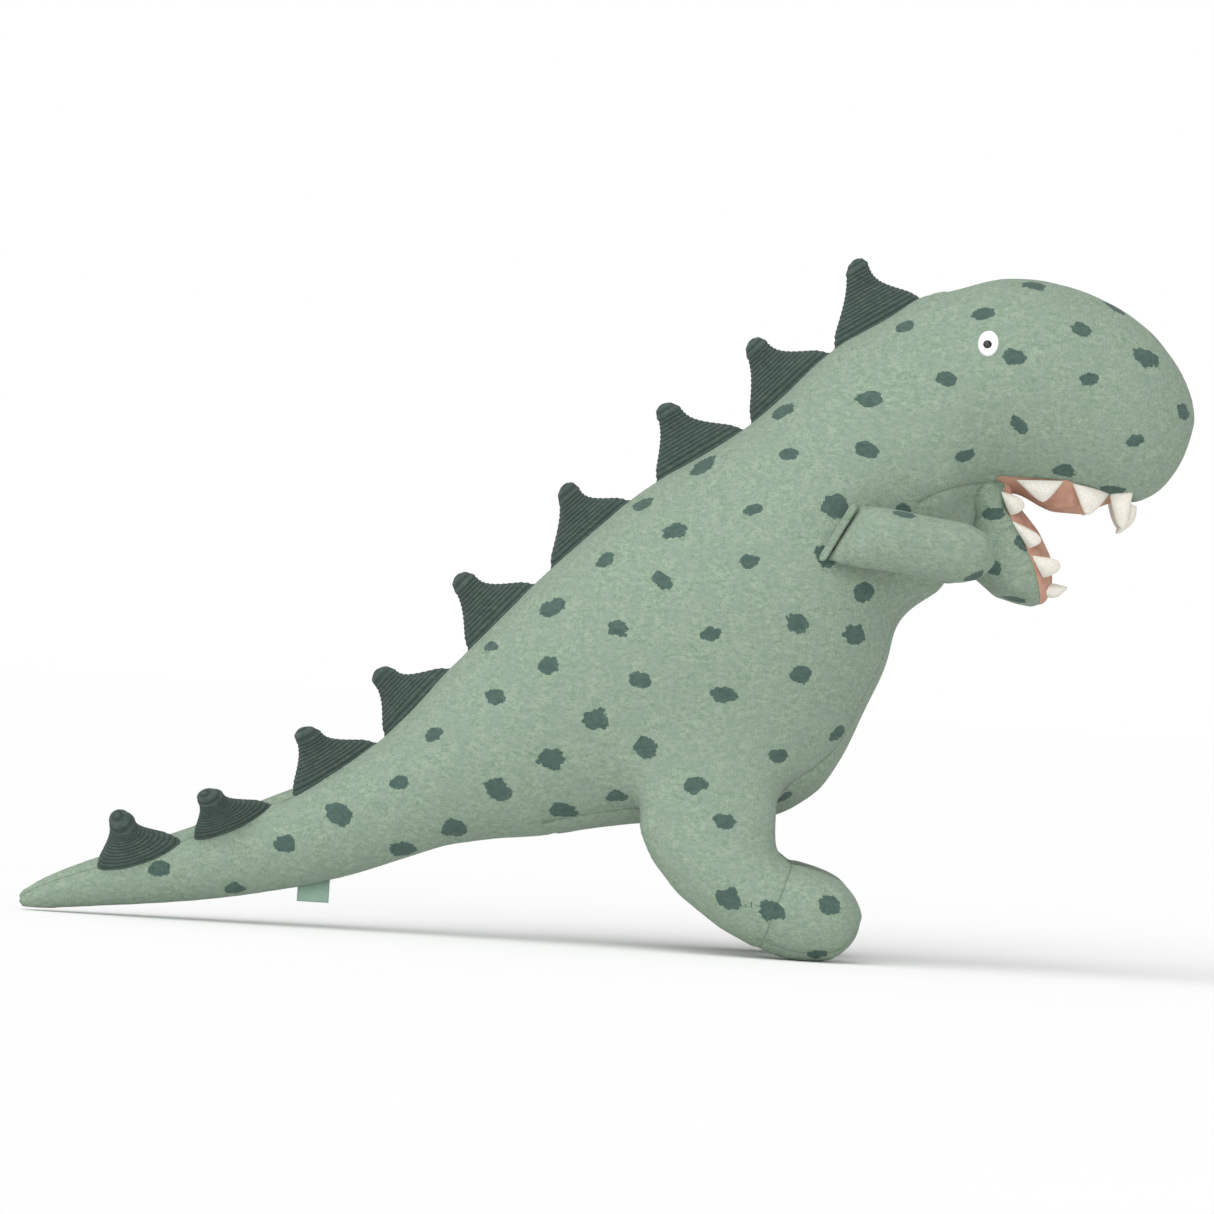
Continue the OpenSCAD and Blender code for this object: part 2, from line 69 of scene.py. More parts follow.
BODY_PARTS = ["right_side_panel", "left_side_panel", "belly_gusset", "torso_stuffing"]
TAIL_PARTS = ["tail_right_panel", "tail_left_panel", "tail_stuffing"]
TIP_PARTS = ["tip_right_panel", "tip_left_panel", "tip_stuffing"]
HEAD_PARTS = ["head_right_panel", "head_left_panel", "throat_gusset", "palate_lining", "head_stuffing"]
LEG_PARTS = ["leg_outer", "leg_inner", "toe_cap", "sole", "leg_stuffing"]
SKIN_NODES = BODY_PARTS + TAIL_PARTS + TIP_PARTS + HEAD_PARTS
SKIN_NODES = SKIN_NODES + [f"{side}_{part}" for side in SIDES for part in LEG_PARTS]

# Joints that the skin bends across: direction of the skin's line, where the neck's bend starts, and
# half the length of the tail's bends
JOINT = {joint["name"]: joint for joint in frame["joints"]}
NECK_LINE = Vector((1, 0, 0.035)).normalized()
TAIL_LINE = Vector((0.848, 0, 0.53)).normalized()
TIP_LINE = Vector((0.998, 0, 0.07)).normalized()
NECK_START = -5 * MM
TAIL_BEND = 14 * MM
TIP_BEND = 12 * MM
# The leg's bend lies below a plane that is high on its outer face and low at the crotch, and before LEG_BACK
LEG_OUTER_EDGE = Vector((0, 0.068, 0.100))
LEG_INNER_EDGE = Vector((0, 0.025, 0.076))
LEG_BACK = 8 * MM


def joint_place(name):
    return Vector(JOINT[name]["pos_m"])


# ---- Meshes as arrays ----

class Skin:
    """Vertices, faces and one array of values for each named attribute."""

    def __init__(self, points, faces):
        self.points = np.asarray(points, float)
        self.faces = [tuple(int(i) for i in face) for face in faces]
        self.data = {}

    def tree(self):
        return BVHTree.FromPolygons([Vector(p) for p in self.points], self.faces)


def modelled_skin(points, faces):
    """A skin whose material reads its rest places."""
    skin = Skin(points, faces)
    skin.data["rest"] = skin.points.copy()
    return skin


def node_arrays(name):
    mesh = frame["nodes"][name].data
    mesh.calc_loop_triangles()
    points = np.zeros(len(mesh.vertices) * 3)
    mesh.vertices.foreach_get("co", points)
    faces = np.zeros(len(mesh.loop_triangles) * 3, int)
    mesh.loop_triangles.foreach_get("vertices", faces)
    return points.reshape(-1, 3), faces.reshape(-1, 3)


def joined(meshes):
    points, faces, start = [], [], 0
    for some_points, some_faces in meshes:
        points.append(some_points)
        faces.append(some_faces + start)
        start += len(some_points)
    return np.concatenate(points), np.concatenate(faces)


def hull_of(points):
    work = bmesh.new()
    for p in points:
        work.verts.new(p)
    bmesh.ops.convex_hull(work, input=work.verts)
    bmesh.ops.triangulate(work, faces=work.faces)
    work.verts.index_update()
    out = np.array([v.co for v in work.verts])
    faces = np.array([[v.index for v in f.verts] for f in work.faces])
    work.free()
    return out, faces


def bridge(names, place, line, reach):
    """Fills the notch of a joint: the hull of the two facing ends."""
    points = np.concatenate([node_arrays(n)[0] for n in names])
    along = (points - np.array(place)) @ np.array(line)
    return hull_of(points[np.abs(along) < reach])


# Voxels that a level set keeps beyond the closing
BAND_MARGIN = 3


def closed_surface(points, faces, voxel, closing):
    """Outer surface of overlapping solids, with every gap narrower than twice the closing filled."""
    space = openvdb.createLinearTransform(voxelSize=voxel)
    width = closing / voxel + BAND_MARGIN
    solid = openvdb.FloatGrid.createLevelSetFromPolygons(
        points.astype(np.float32), triangles=faces.astype(np.uint32), transform=space, halfWidth=width)
    swollen, quads = solid.convertToQuads(isovalue=closing)
    shell = openvdb.FloatGrid.createLevelSetFromPolygons(
        swollen, quads=quads, transform=space, halfWidth=width)
    out, quads = shell.convertToQuads(isovalue=-closing)
    return out, quads[:, ::-1]


def edge_ends(faces):
    pairs = {(min(a, b), max(a, b)) for face in faces for a, b in zip(face, face[1:] + face[:1])}
    return np.array(sorted(pairs)).T


def edge_counts(a, b, count):
    """How many edges meet at each vertex, and no less than 1."""
    return np.maximum(np.bincount(a, minlength=count) + np.bincount(b, minlength=count), 1)


def neighbour_mean(values, a, b, degree):
    """Mean of one coordinate over the vertices that share an edge with each vertex."""
    count = len(values)
    return (np.bincount(a, values[b], count) + np.bincount(b, values[a], count)) / degree


# Shares of the way to its neighbours' mean that a vertex moves: in, then back out, and when relaxed
SMOOTH_IN = 0.5
SMOOTH_OUT = -0.52
RELAX_STEP = 0.5


def smooth(skin, rounds):
    """Evens out a skin without shrinking it."""
    a, b = edge_ends(skin.faces)
    degree = edge_counts(a, b, len(skin.points))
    for _ in range(rounds):
        for share in (SMOOTH_IN, SMOOTH_OUT):
            mean = np.stack([neighbour_mean(skin.points[:, k], a, b, degree) for k in range(3)], 1)
            skin.points += (mean - skin.points) * share


def relax(skin, weight, rounds):
    """Pulls the weighted part of a skin taut, as cloth over stuffing."""
    a, b = edge_ends(skin.faces)
    kept = (weight[a] > 0) | (weight[b] > 0)
    a, b = a[kept], b[kept]
    degree = edge_counts(a, b, len(skin.points))
    for _ in range(rounds):
        for k in range(3):
            column = skin.points[:, k]
            column += (neighbour_mean(column, a, b, degree) - column) * weight * RELAX_STEP


def region(skin, **spans):
    """1 in a box, falling to 0 at its sides. Spans are (low end, high end, soft edge) in millimetres, along
    x, y or z or out from the middle plane."""
    x, y, z = skin.points.T / MM
    places = {"x": x, "y": y, "z": z, "out": np.abs(y)}
    weight = np.ones(len(skin.points))
    for axis, (low, high, soft) in spans.items():
        share = np.clip(np.minimum(places[axis] - low, high - places[axis]) / soft, 0, 1)
        weight *= share * share * (3 - 2 * share)
    return weight


def normals(skin):
    """Normals of a skin that is all quads."""
    faces = np.array(skin.faces)
    p = skin.points[faces]
    n = np.cross(p[:, 2] - p[:, 0], p[:, 3] - p[:, 1])
    out = np.zeros_like(skin.points)
    for k in range(4):
        np.add.at(out, faces[:, k], n)
    return out / np.maximum(np.linalg.norm(out, axis=1, keepdims=True), 1e-12)


def oval(centre, across, up, count):
    """Ring of points about a centre, through the ends of its two half axes."""
    turns = [2 * math.pi * k / count for k in range(count)]
    return [centre + across * math.cos(a) + up * math.sin(a) for a in turns]


def tube_faces(rows, count, start=0):
    """Faces between the rings of a tube, and over its two ends."""
    faces = []
    for i in range(rows):
        for j in range(count):
            k = (j + 1) % count
            p = start + i * count
            q = p + count
            faces.append((p + j, q + j, q + k, p + k))
    last = start + rows * count
    return faces + [tuple(range(start, start + count)), tuple(range(last + count - 1, last - 1, -1))]


def turned_over(faces):
    """The same faces, looking the other way."""
    return [face[:1] + face[:0:-1] for face in faces]


def cut(skin, field):
    """Splits a skin along the zero line of a field, into its negative and its positive part."""
    over = field > 0
    count = len(skin.points)
    made, ends, shares = {}, [], []
    halves = ([], [])
    for face in skin.faces:
        up = [over[i] for i in face]
        if all(up) or not any(up):
            halves[int(up[0])].append(face)
            continue
        parts = ([], [])
        for k, i in enumerate(face):
            j = face[(k + 1) % len(face)]
            parts[int(over[i])].append(i)
            if over[i] != over[j]:
                key = (min(i, j), max(i, j))
                if key not in made:
                    made[key] = count + len(made)
                    ends.append(key)
                    shares.append(field[key[0]] / (field[key[0]] - field[key[1]]))
                parts[0].append(made[key])
                parts[1].append(made[key])
        for half, part in zip(halves, parts):
            if len(part) > 2:
                half.append(tuple(part))

    def extended(values):
        if not made:
            return values
        a, b = np.array(ends).T
        share = np.array(shares).reshape((-1,) + (1,) * (values.ndim - 1))
        return np.concatenate([values, values[a] * (1 - share) + values[b] * share])

    points = extended(skin.points)
    data = {k: extended(v) for k, v in skin.data.items()}
    out = []
    for faces in halves:
        used = sorted({i for f in faces for i in f})
        place = {v: i for i, v in enumerate(used)}
        part = Skin(points[used], [[place[i] for i in f] for f in faces])
        part.data = {k: v[used] for k, v in data.items()}
        out.append(part)
    return out


def placed(name, data):
    thing = bpy.data.objects.new(name, data)
    bpy.context.scene.collection.objects.link(thing)
    return thing


def make_object(name, skin, material):
    mesh = bpy.data.meshes.new(name)
    mesh.from_pydata([tuple(p) for p in skin.points], [], skin.faces)
    mesh.update()
    for key, values in skin.data.items():
        if key == "normal":
            continue
        kind = "FLOAT_VECTOR" if values.ndim > 1 else "FLOAT"
        layer = mesh.attributes.new(key, kind, "POINT")
        layer.data.foreach_set("vector" if values.ndim > 1 else "value", values.ravel().astype(np.float32))
    mesh.materials.append(material)
    mesh.polygons.foreach_set("use_smooth", [True] * len(mesh.polygons))
    if "normal" in skin.data:
        n = skin.data["normal"]
        n = n / np.maximum(np.linalg.norm(n, axis=1, keepdims=True), 1e-12)
        mesh.normals_split_custom_set_from_vertices([tuple(v) for v in n])
    return placed(name, mesh)


# Distance that stands for none near, to a seam or a spot
NO_SEAM = 30 * MM
NO_SPOT = 50 * MM


def distances(points, names):
    """Distance from each point to a group of CAD nodes, no more than NO_SEAM."""
    solid, faces = joined([node_arrays(n) for n in names])
    tree = BVHTree.FromPolygons([Vector(p) for p in solid], [tuple(int(i) for i in f) for f in faces])
    out = np.full(len(points), NO_SEAM)
    for i, p in enumerate(points):
        hit = tree.find_nearest(Vector(p), NO_SEAM)
        if hit[3] is not None:
            out[i] = hit[3]
    return out


# ---- Materials ----

def colour(red, green, blue):
    """Linear colour from the 0 to 255 values that a colour chart gives."""
    return tuple(pow((c / 255 + 0.055) / 1.055, 2.4) for c in (red, green, blue)) + (1,)


class Look:
    """A node material. Calls add nodes; a value that is a socket is linked, and any other is set."""

    def __init__(self, name, roughness=0.9, sheen=0.08, specular=0.2):
        self.material = bpy.data.materials.new(name)
        self.material.use_nodes = True
        self.tree = self.material.node_tree
        self.shader = self.tree.nodes["Principled BSDF"]
        values = {"Roughness": roughness, "Sheen Weight": sheen, "Sheen Roughness": 0.5,
                  "Specular IOR Level": specular}
        for key, value in values.items():
            self.shader.inputs[key].default_value = value

    def node(self, kind, settings=(), **values):
        made = self.tree.nodes.new(kind)
        for key, value in dict(settings).items():
            setattr(made, key, value)
        for key, value in values.items():
            name = int(key[1:]) if key[1:].isdigit() else key.replace("_", " ")
            socket = made.inputs[name]
            if isinstance(value, bpy.types.NodeSocket):
                self.tree.links.new(value, socket)
            else:
                socket.default_value = value
        return made

    def math(self, operation, a, b=0.0):
        return self.node("ShaderNodeMath", {"operation": operation}, i0=a, i1=b).outputs[0]

    def line(self, value, slope, start):
        return self.math("ADD", self.math("MULTIPLY", value, slope), start)

    def weighted(self, a, share_a, b, share_b):
        return self.math("ADD", self.math("MULTIPLY", a, share_a), self.math("MULTIPLY", b, share_b))

    def attribute(self, name, vector=False):
        made = self.node("ShaderNodeAttribute", {"attribute_name": name})
        return made.outputs["Vector" if vector else "Fac"]

    def split(self, vector):
        return self.node("ShaderNodeSeparateXYZ", Vector=vector).outputs

    def scaled(self, vector, size):
        return self.node("ShaderNodeVectorMath", {"operation": "MULTIPLY"}, i0=vector, i1=size).outputs[0]

    def noise(self, vector, size, detail=3.0, roughness=0.6):
        """Noise whose features are about size metres."""
        return self.node("ShaderNodeTexNoise", Vector=vector, Scale=1 / size, Detail=detail,
                         Roughness=roughness).outputs[0]

    def ramp(self, value, low, high):
        """0 below low, 1 above high."""
        soft = {"interpolation_type": "SMOOTHSTEP"}
        return self.node("ShaderNodeMapRange", soft, Value=value, From_Min=low, From_Max=high).outputs[0]

    def mix(self, share, a, b):
        made = self.node("ShaderNodeMix", {"data_type": "RGBA"}, i0=share, i6=a, i7=b)
        return made.outputs[2]

    def shaded(self, base, stitch, slope, least):
        """Colour with painted shade: darker in the low parts of a stitch."""
        shade = self.line(stitch, slope, least)
        return self.node("ShaderNodeVectorMath", {"operation": "SCALE"}, i0=base, i3=shade).outputs[0]

    def finish(self, base, height, depth, strength):
        self.tree.links.new(base, self.shader.inputs["Base Color"])
        bump = self.node("ShaderNodeBump", Height=height, Distance=depth, Strength=strength)
        self.tree.links.new(bump.outputs[0], self.shader.inputs["Normal"])
        return self.material


# Yarns, each as its light, dark and cool colour
SAGE_YARN = (colour(154, 170, 151), colour(118, 140, 119), colour(134, 151, 139))
SPOT_YARN = (colour(86, 109, 100), colour(63, 84, 77), colour(73, 95, 89))
SPIKE_YARN = (colour(86, 101, 94), colour(59, 75, 69), colour(69, 84, 79))
# Painted shade for the dark line along each seam's groove
SEAM_SHADE_COLOUR = colour(76, 98, 82)
# Painted shade for the valleys between a spike's ridges
RIDGE_VALLEY_SHADE = colour(36, 49, 44)
# Two-coloured materials, each as its light and dark colour
FELT_PAIR = (colour(234, 231, 222), colour(208, 203, 191))
EYE_PAIR = (colour(246, 246, 249), colour(224, 226, 231))
LINING_PAIR = (colour(196, 153, 133), colour(176, 134, 113))
RIBBON_PAIR = (colour(156, 182, 166), colour(128, 158, 140))
BEAD_PAIR = (colour(26, 26, 28), colour(14, 14, 16))
# Size of a stitch across and along its column, in each knit
WALE = 1.7 * MM
COURSE = 1.3 * MM
SPIKE_WALE = 1.1 * MM
LINING_WALE = 1.2 * MM
LINING_COURSE = 1.0 * MM
# How far the two arms of a stitch slant, and how much its columns and rows stand out
STITCH_SLANT = 1.4
COLUMN_SHARE = 0.7
ROW_SHARE = 0.8
# Sizes of the flecks, streaks and clouds in a yarn
FLECK = 1.1 * MM
STREAK = 2.4 * MM
CLOUD = 11 * MM
# Steps of a spot's outline, and the sizes of its jags and waves
SPOT_STEP_ACROSS = 1.0 * MM
SPOT_STEP_UP = 0.7 * MM
SPOT_JAG = 2.5 * MM
SPOT_WAVE = 8 * MM
# How far from its centre a spot may reach
SPOT_REACH = 11.5 * MM
# Width of a seam's line of painted shade to each side, and how far from a seam it may show
SEAM_LINE = 0.9 * MM
SEAM_SHOWS = 4 * MM
# Sizes of the fibres of the teeth's and the eyes' felt, and of its clouds
FELT_FIBRE = 1.2 * MM
EYE_FIBRE = 0.6 * MM
FELT_CLOUD = 7 * MM
LINING_CLOUD = 5 * MM
# Threads of the ribbon
WEFT = 0.5 * MM
WARP = 0.4 * MM


def stitches(look, wale, course):
    """Height of a plain knit: columns of V-shaped stitches."""
    across, along, _ = look.split(look.attribute("grid", True))
    u = look.math("FRACT", look.math("DIVIDE", across, wale))
    off = look.math("ABSOLUTE", look.math("SUBTRACT", u, 0.5))
    v = look.math("ADD", look.math("DIVIDE", along, course), look.math("MULTIPLY", off, STITCH_SLANT))
    row = look.math("ABSOLUTE", look.math("SUBTRACT", look.math("FRACT", v), 0.5))
    column = look.math("SINE", look.math("MULTIPLY", off, 2 * math.pi))
    return look.weighted(column, COLUMN_SHARE, row, ROW_SHARE)


def heather(look, yarn):
    """Yarn of mixed fibres: fine flecks on soft clouds."""
    light, dark, cool = yarn
    place = look.attribute("rest", True)
    flecks = look.noise(look.scaled(place, (0.6, 0.6, 1)), FLECK, 2.0, 0.7)
    streaks = look.noise(look.scaled(place, (0.55, 0.55, 1)), STREAK, 3.0, 0.7)
    clouds = look.noise(place, CLOUD, 3.0, 0.6)
    both = look.weighted(flecks, 0.45, streaks, 0.55)
    base = look.mix(look.ramp(both, 0.32, 0.68), dark, light)
    return look.mix(look.math("MULTIPLY", look.ramp(clouds, 0.4, 0.6), 0.45), base, cool)


def knit_look():
    look = Look("knit")
    stitch = stitches(look, WALE, COURSE)

    # Spots are knitted in, so their outlines step from stitch to stitch
    local = look.split(look.attribute("spot", True))
    gap, seed, half = look.split(look.attribute("spot_facts", True))
    step_u = look.math("SNAP", local[0], SPOT_STEP_ACROSS)
    step_v = look.math("SNAP", local[1], SPOT_STEP_UP)
    stepped = look.node("ShaderNodeCombineXYZ", X=step_u, Y=step_v, Z=seed).outputs[0]
    jags = look.math("MULTIPLY", look.noise(stepped, SPOT_JAG, 0.0, 0.5), 0.4)
    wobble = look.math("ADD", look.noise(stepped, SPOT_WAVE, 1.0, 0.5), jags)
    size = look.math("MULTIPLY", half, look.line(wobble, 0.85, 0.28))
    slim = look.line(look.math("FRACT", seed), 0.55, 1.1)
    oval = look.node("ShaderNodeCombineXYZ", X=step_u, Y=look.math("MULTIPLY", step_v, slim)).outputs[0]
    reach = look.node("ShaderNodeVectorMath", {"operation": "LENGTH"}, i0=oval).outputs["Value"]
    inside = look.ramp(look.math("SUBTRACT", size, reach), 0.0, 0.25 * MM)
    inside = look.math("MULTIPLY", inside, look.math("LESS_THAN", gap, SPOT_REACH))
    base = look.mix(inside, heather(look, SAGE_YARN), heather(look, SPOT_YARN))

    # Sewn seams are thin lines that the knit rolls into: painted shade darkens each line, and the bump sinks
    # it
    seam = look.split(look.attribute("seam", True))
    line = look.ramp(look.math("ABSOLUTE", seam[0]), 0.0, SEAM_LINE)
    near = look.math("LESS_THAN", seam[1], SEAM_SHOWS)
    groove = look.math("MULTIPLY", look.math("SUBTRACT", 1.0, line), near)
    base = look.mix(look.math("MULTIPLY", groove, 0.4), base, SEAM_SHADE_COLOUR)
    height = look.math("SUBTRACT", stitch, look.math("MULTIPLY", groove, 2.0))
    return look.finish(look.shaded(base, stitch, 0.16, 0.86), height, 0.35 * MM, 0.6)


def spike_look():
    look = Look("spike_knit")
    # Painted shade darkens the valleys between the ridges
    ridge = look.ramp(look.attribute("ridge"), 0.0, 0.7)
    valley = look.math("SUBTRACT", 0.6, look.math("MULTIPLY", ridge, 0.6))
    base = look.mix(valley, heather(look, SPIKE_YARN), RIDGE_VALLEY_SHADE)
    return look.finish(base, stitches(look, SPIKE_WALE, COURSE), 0.3 * MM, 0.6)


def felt_look(name, pair, fibre):
    look = Look(name, sheen=0.1)
    light, dark = pair
    place = look.attribute("rest", True)
    fibres = look.noise(place, fibre, 5.0, 0.75)
    clouds = look.noise(place, FELT_CLOUD, 2.0, 0.5)
    share = look.weighted(look.ramp(fibres, 0.35, 0.65), 0.6, clouds, 0.4)
    return look.finish(look.mix(share, dark, light), fibres, 0.3 * MM, 0.5)


def lining_look():
    look = Look("mouth_lining")
    light, dark = LINING_PAIR
    stitch = stitches(look, LINING_WALE, LINING_COURSE)
    clouds = look.noise(look.attribute("rest", True), LINING_CLOUD, 3.0, 0.6)
    base = look.mix(look.ramp(clouds, 0.3, 0.7), dark, light)
    return look.finish(look.shaded(base, stitch, 0.12, 0.9), stitch, 0.25 * MM, 0.5)


def ribbon_look():
    look = Look("ribbon", roughness=0.55, sheen=0.1)
    light, dark = RIBBON_PAIR
    place = look.split(look.attribute("rest", True))
    weft = look.math("SINE", look.math("MULTIPLY", place[2], 2 * math.pi / WEFT))
    warp = look.math("SINE", look.math("MULTIPLY", place[0], 2 * math.pi / WARP))
    weave = look.math("MULTIPLY", weft, warp)
    return look.finish(look.mix(look.ramp(weave, -0.6, 0.6), dark, light), weave, 0.08 * MM, 0.4)


def bead_look():
    look = Look("eye_black", roughness=0.3, sheen=0.0, specular=0.5)
    light, dark = BEAD_PAIR
    cloud = look.noise(look.attribute("rest", True), 2 * MM)
    return look.finish(look.mix(cloud, dark, light), cloud, 0.02 * MM, 0.2)


KNIT = knit_look()
SPIKE = spike_look()
FELT = felt_look("felt", FELT_PAIR, FELT_FIBRE)
EYE_FELT = felt_look("eye_white", EYE_PAIR, EYE_FIBRE)
LINING = lining_look()
RIBBON = ribbon_look()
BEAD = bead_look()

# ---- The whole skin ----

# Size of a voxel, and half the widest gap that is filled
VOXEL = 2.4 * MM
CLOSING = 7 * MM
# How far from a joint the hull over its notch reaches
NECK_BRIDGE = 13 * MM
TAIL_BRIDGE = 12 * MM
TIP_BRIDGE = 10 * MM
# Round rolls of stuffing behind and at the mouth's corner, as (y, radius) in millimetres
THROAT = Vector((204, 0, 269)) * MM
THROAT_ROLL = [(-25, 7), (-18, 13), (0, 15), (18, 13), (25, 7)]
JAW_ROLL = [(-27, 7), (-21, 13), (0, 14), (21, 13), (27, 7)]
ROLL_ROUND = 24
# Regions that are relaxed, and for how many rounds: hips, the body without its feet and tail's tip, feet
FAR = 1000
HIPS = {"x": (-20, 150, 25), "z": (88, 215, 20), "out": (30, 200, 12)}
BEHIND_FEET = {"x": (-FAR, 0, 20)}
OVER_FEET = {"z": (70, FAR, 20)}
BEFORE_TIP = {"x": (-270, FAR, 50)}
FEET = {"x": (10, FAR, 20), "z": (-FAR, 85, 15)}
SMOOTH_ROUNDS = 45
HIP_ROUNDS = 320
BODY_ROUNDS = 45
FOOT_ROUNDS = 16
# What the skin loses while its facets are relaxed, and gets back: on the body and on the feet
SHRINK = 1.1 * MM
FOOT_SHRINK = 0.5 * MM


def roll(centre, rows):
    """Round roll across the body about a point."""
    pts = []
    for y, radius in rows:
        middle = centre + Vector((0, y, 0)) * MM
        pts += oval(middle, Vector((radius, 0, 0)) * MM, Vector((0, 0, radius)) * MM, ROLL_ROUND)
    return hull_of(pts)


def whole_skin():
    solids = [node_arrays(n) for n in SKIN_NODES]
    solids.append(bridge(BODY_PARTS + HEAD_PARTS, joint_place("neck_nod"), NECK_LINE, NECK_BRIDGE))
    solids.append(bridge(BODY_PARTS + TAIL_PARTS, joint_place("tail_bend"), TAIL_LINE, TAIL_BRIDGE))
    solids.append(bridge(TAIL_PARTS + TIP_PARTS, joint_place("tip_bend"), TIP_LINE, TIP_BRIDGE))
    solids.append(roll(THROAT, THROAT_ROLL))
    skin = Skin(*closed_surface(*joined(solids), VOXEL, CLOSING))
    smooth(skin, SMOOTH_ROUNDS)
    relax(skin, region(skin, **HIPS), HIP_ROUNDS)
    body = region(skin, **BEFORE_TIP) * np.maximum(region(skin, **BEHIND_FEET), region(skin, **OVER_FEET))
    relax(skin, body, BODY_ROUNDS)
    skin.points += normals(skin) * (SHRINK * body)[:, None]
    feet = region(skin, **FEET)
    relax(skin, feet, FOOT_ROUNDS)
    skin.points += normals(skin) * (FOOT_SHRINK * feet)[:, None]
    skin.points[:, 2] = np.maximum(skin.points[:, 2], 0)
    return skin


# Pieces on the two sides of each seam, and its depth
RIGHT_PANELS = ["right_side_panel", "tail_right_panel", "tip_right_panel", "head_right_panel"]
LEFT_PANELS = ["left_side_panel", "tail_left_panel", "tip_left_panel", "head_left_panel"]
GUSSETS = ["belly_gusset", "throat_gusset"]
SEAM_PAIRS = [(RIGHT_PANELS, LEFT_PANELS, 1.2 * MM)]
for side in SIDES:
    SEAM_PAIRS.append(([f"{side}_side_panel", f"head_{side}_panel"], GUSSETS, 1.0 * MM))
for side in SIDES:
    leg, toe, sole = [f"{side}_leg_outer", f"{side}_leg_inner"], f"{side}_toe_cap", f"{side}_sole"
    SEAM_PAIRS.append((leg, [toe, sole], 0.9 * MM))
    SEAM_PAIRS.append(([toe], [sole], 0.9 * MM))
# Width of a seam's valley, and how far from the pieces it may reach
SEAM_WIDTH = 2.6 * MM
SEAM_GATE = 5 * MM
# The palate lies under a line: its height, and from LIP_BACK forward its slope down
LIP_BACK = 268 * MM
LIP_HEIGHT = 294 * MM
LIP_SLOPE = 0.3
LIP_DEPTH = 1.2 * MM
PALATE_REACH = 28 * MM
# Where the palate bulges down, how far, and how wide its edge is
PALATE_BULGE = {"x": (236, 306, 28), "y": (-30, 30, 16)}
PALATE_DROP = 9 * MM
PALATE_EDGE = 6 * MM
# On the chest the side panels reach further round than their CAD solids
CHEST = {"x": (60, FAR, 30), "z": (105, FAR, 30)}
CHEST_SHIFT = 12 * MM
# Curved seam from the arm up to the mouth's corner: its front end, its curve, how far back it runs, its depth
THROAT_SEAM = Vector((222, 0, 289.5)) * MM
THROAT_CURVE = 7.5
THROAT_BACK = 44 * MM
THROAT_DEPTH = 1.0 * MM


def seam_data(signed):
    return np.stack([signed, np.abs(signed), 0 * signed], 1)


def valley(gap, depth):
    """How far the skin sinks at a distance from a seam."""
    return depth * np.exp(-(gap / SEAM_WIDTH) ** 2)


def add_seams(skin):
    """Signed and plain distance to the nearest seam, and a shallow valley along each one."""
    known = {}

    def near(names):
        key = tuple(names)
        if key not in known:
            known[key] = distances(skin.points, names)
        return known[key]

    x, _, z = skin.points.T
    lip = LIP_HEIGHT - LIP_SLOPE * np.maximum(x - LIP_BACK, 0) - z
    palate = near(["palate_lining"]) < PALATE_REACH
    throat = near(["throat_gusset"]) - near(["palate_lining"])
    lining = np.where(palate, np.minimum(lip, throat), -NO_SEAM)
    skin.data["lining"] = lining
    bulge = region(skin, **PALATE_BULGE) * np.clip(lining / PALATE_EDGE, 0, 1)
    skin.points[:, 2] -= PALATE_DROP * bulge

    chest = CHEST_SHIFT * region(skin, **CHEST)
    seams = []
    for ones, others, depth in SEAM_PAIRS:
        gap = near(ones) - near(others) - (chest if others is GUSSETS else 0)
        seams.append((gap, np.minimum(near(ones), near(others)) < SEAM_GATE, depth))
    back = THROAT_SEAM.x - x
    arc = z - THROAT_SEAM.z + THROAT_CURVE * back ** 2
    seams.append((arc, (back > 0) & (back < THROAT_BACK) & (np.abs(arc) < SEAM_GATE), THROAT_DEPTH))
    seams.append((lining, palate, LIP_DEPTH))

    signed = np.full(len(skin.points), NO_SEAM)
    sink = np.zeros(len(skin.points))
    for gap, here, depth in seams:
        sink = np.maximum(sink, np.where(here, valley(gap, depth), 0))
        signed = np.where(here & (np.abs(gap) < np.abs(signed)), gap, signed)
    skin.points -= normals(skin) * sink[:, None]
    skin.data["seam"] = seam_data(signed)


# Spots on the right side, as (x, z) in millimetres, set on a 5 mm grid: head, shoulder, flank, rump,
# tail and leg
SPOTS = [
    (205, 305), (190, 350), (165, 380), (210, 390), (240, 410), (270, 385), (230, 365), (235, 325),
    (275, 355), (310, 370), (335, 340), (305, 320), (265, 300), (295, 290), (290, 400), (145, 305),
    (145, 335), (220, 280), (100, 300), (95, 325), (130, 270), (125, 240), (145, 195), (150, 220),
    (110, 200), (115, 170), (170, 270), (80, 265), (80, 235), (50, 290), (15, 265), (35, 250),
    (30, 220), (-5, 230), (5, 190), (60, 190), (20, 160), (70, 155), (-5, 135), (25, 120),
    (105, 120), (55, 100), (140, 135), (110, 95), (75, 80), (-35, 200), (-35, 165), (-70, 175),
    (-65, 145), (-100, 120), (-30, 110), (-60, 90), (10, 90), (-20, 80), (-120, 90), (-155, 70),
    (-185, 50), (-115, 50), (-85, 65), (-215, 20), (-260, 30), (80, 35), (105, 30), (140, 35),
    (135, 5)]
SPOT_SEED = 7
# Lowest and highest value of a spot's half size in millimetres, its tilt in degrees and its outline's seed
HALF_RANGE = (6.6, 10.0)
TILT_RANGE = (-15, 40)
OUTLINE_RANGE = (0, 9)
# How far the left side's spots are moved along x and z, in millimetres
LEFT_X_RANGE = (10, 18)
LEFT_Z_RANGE = (-6, 6)


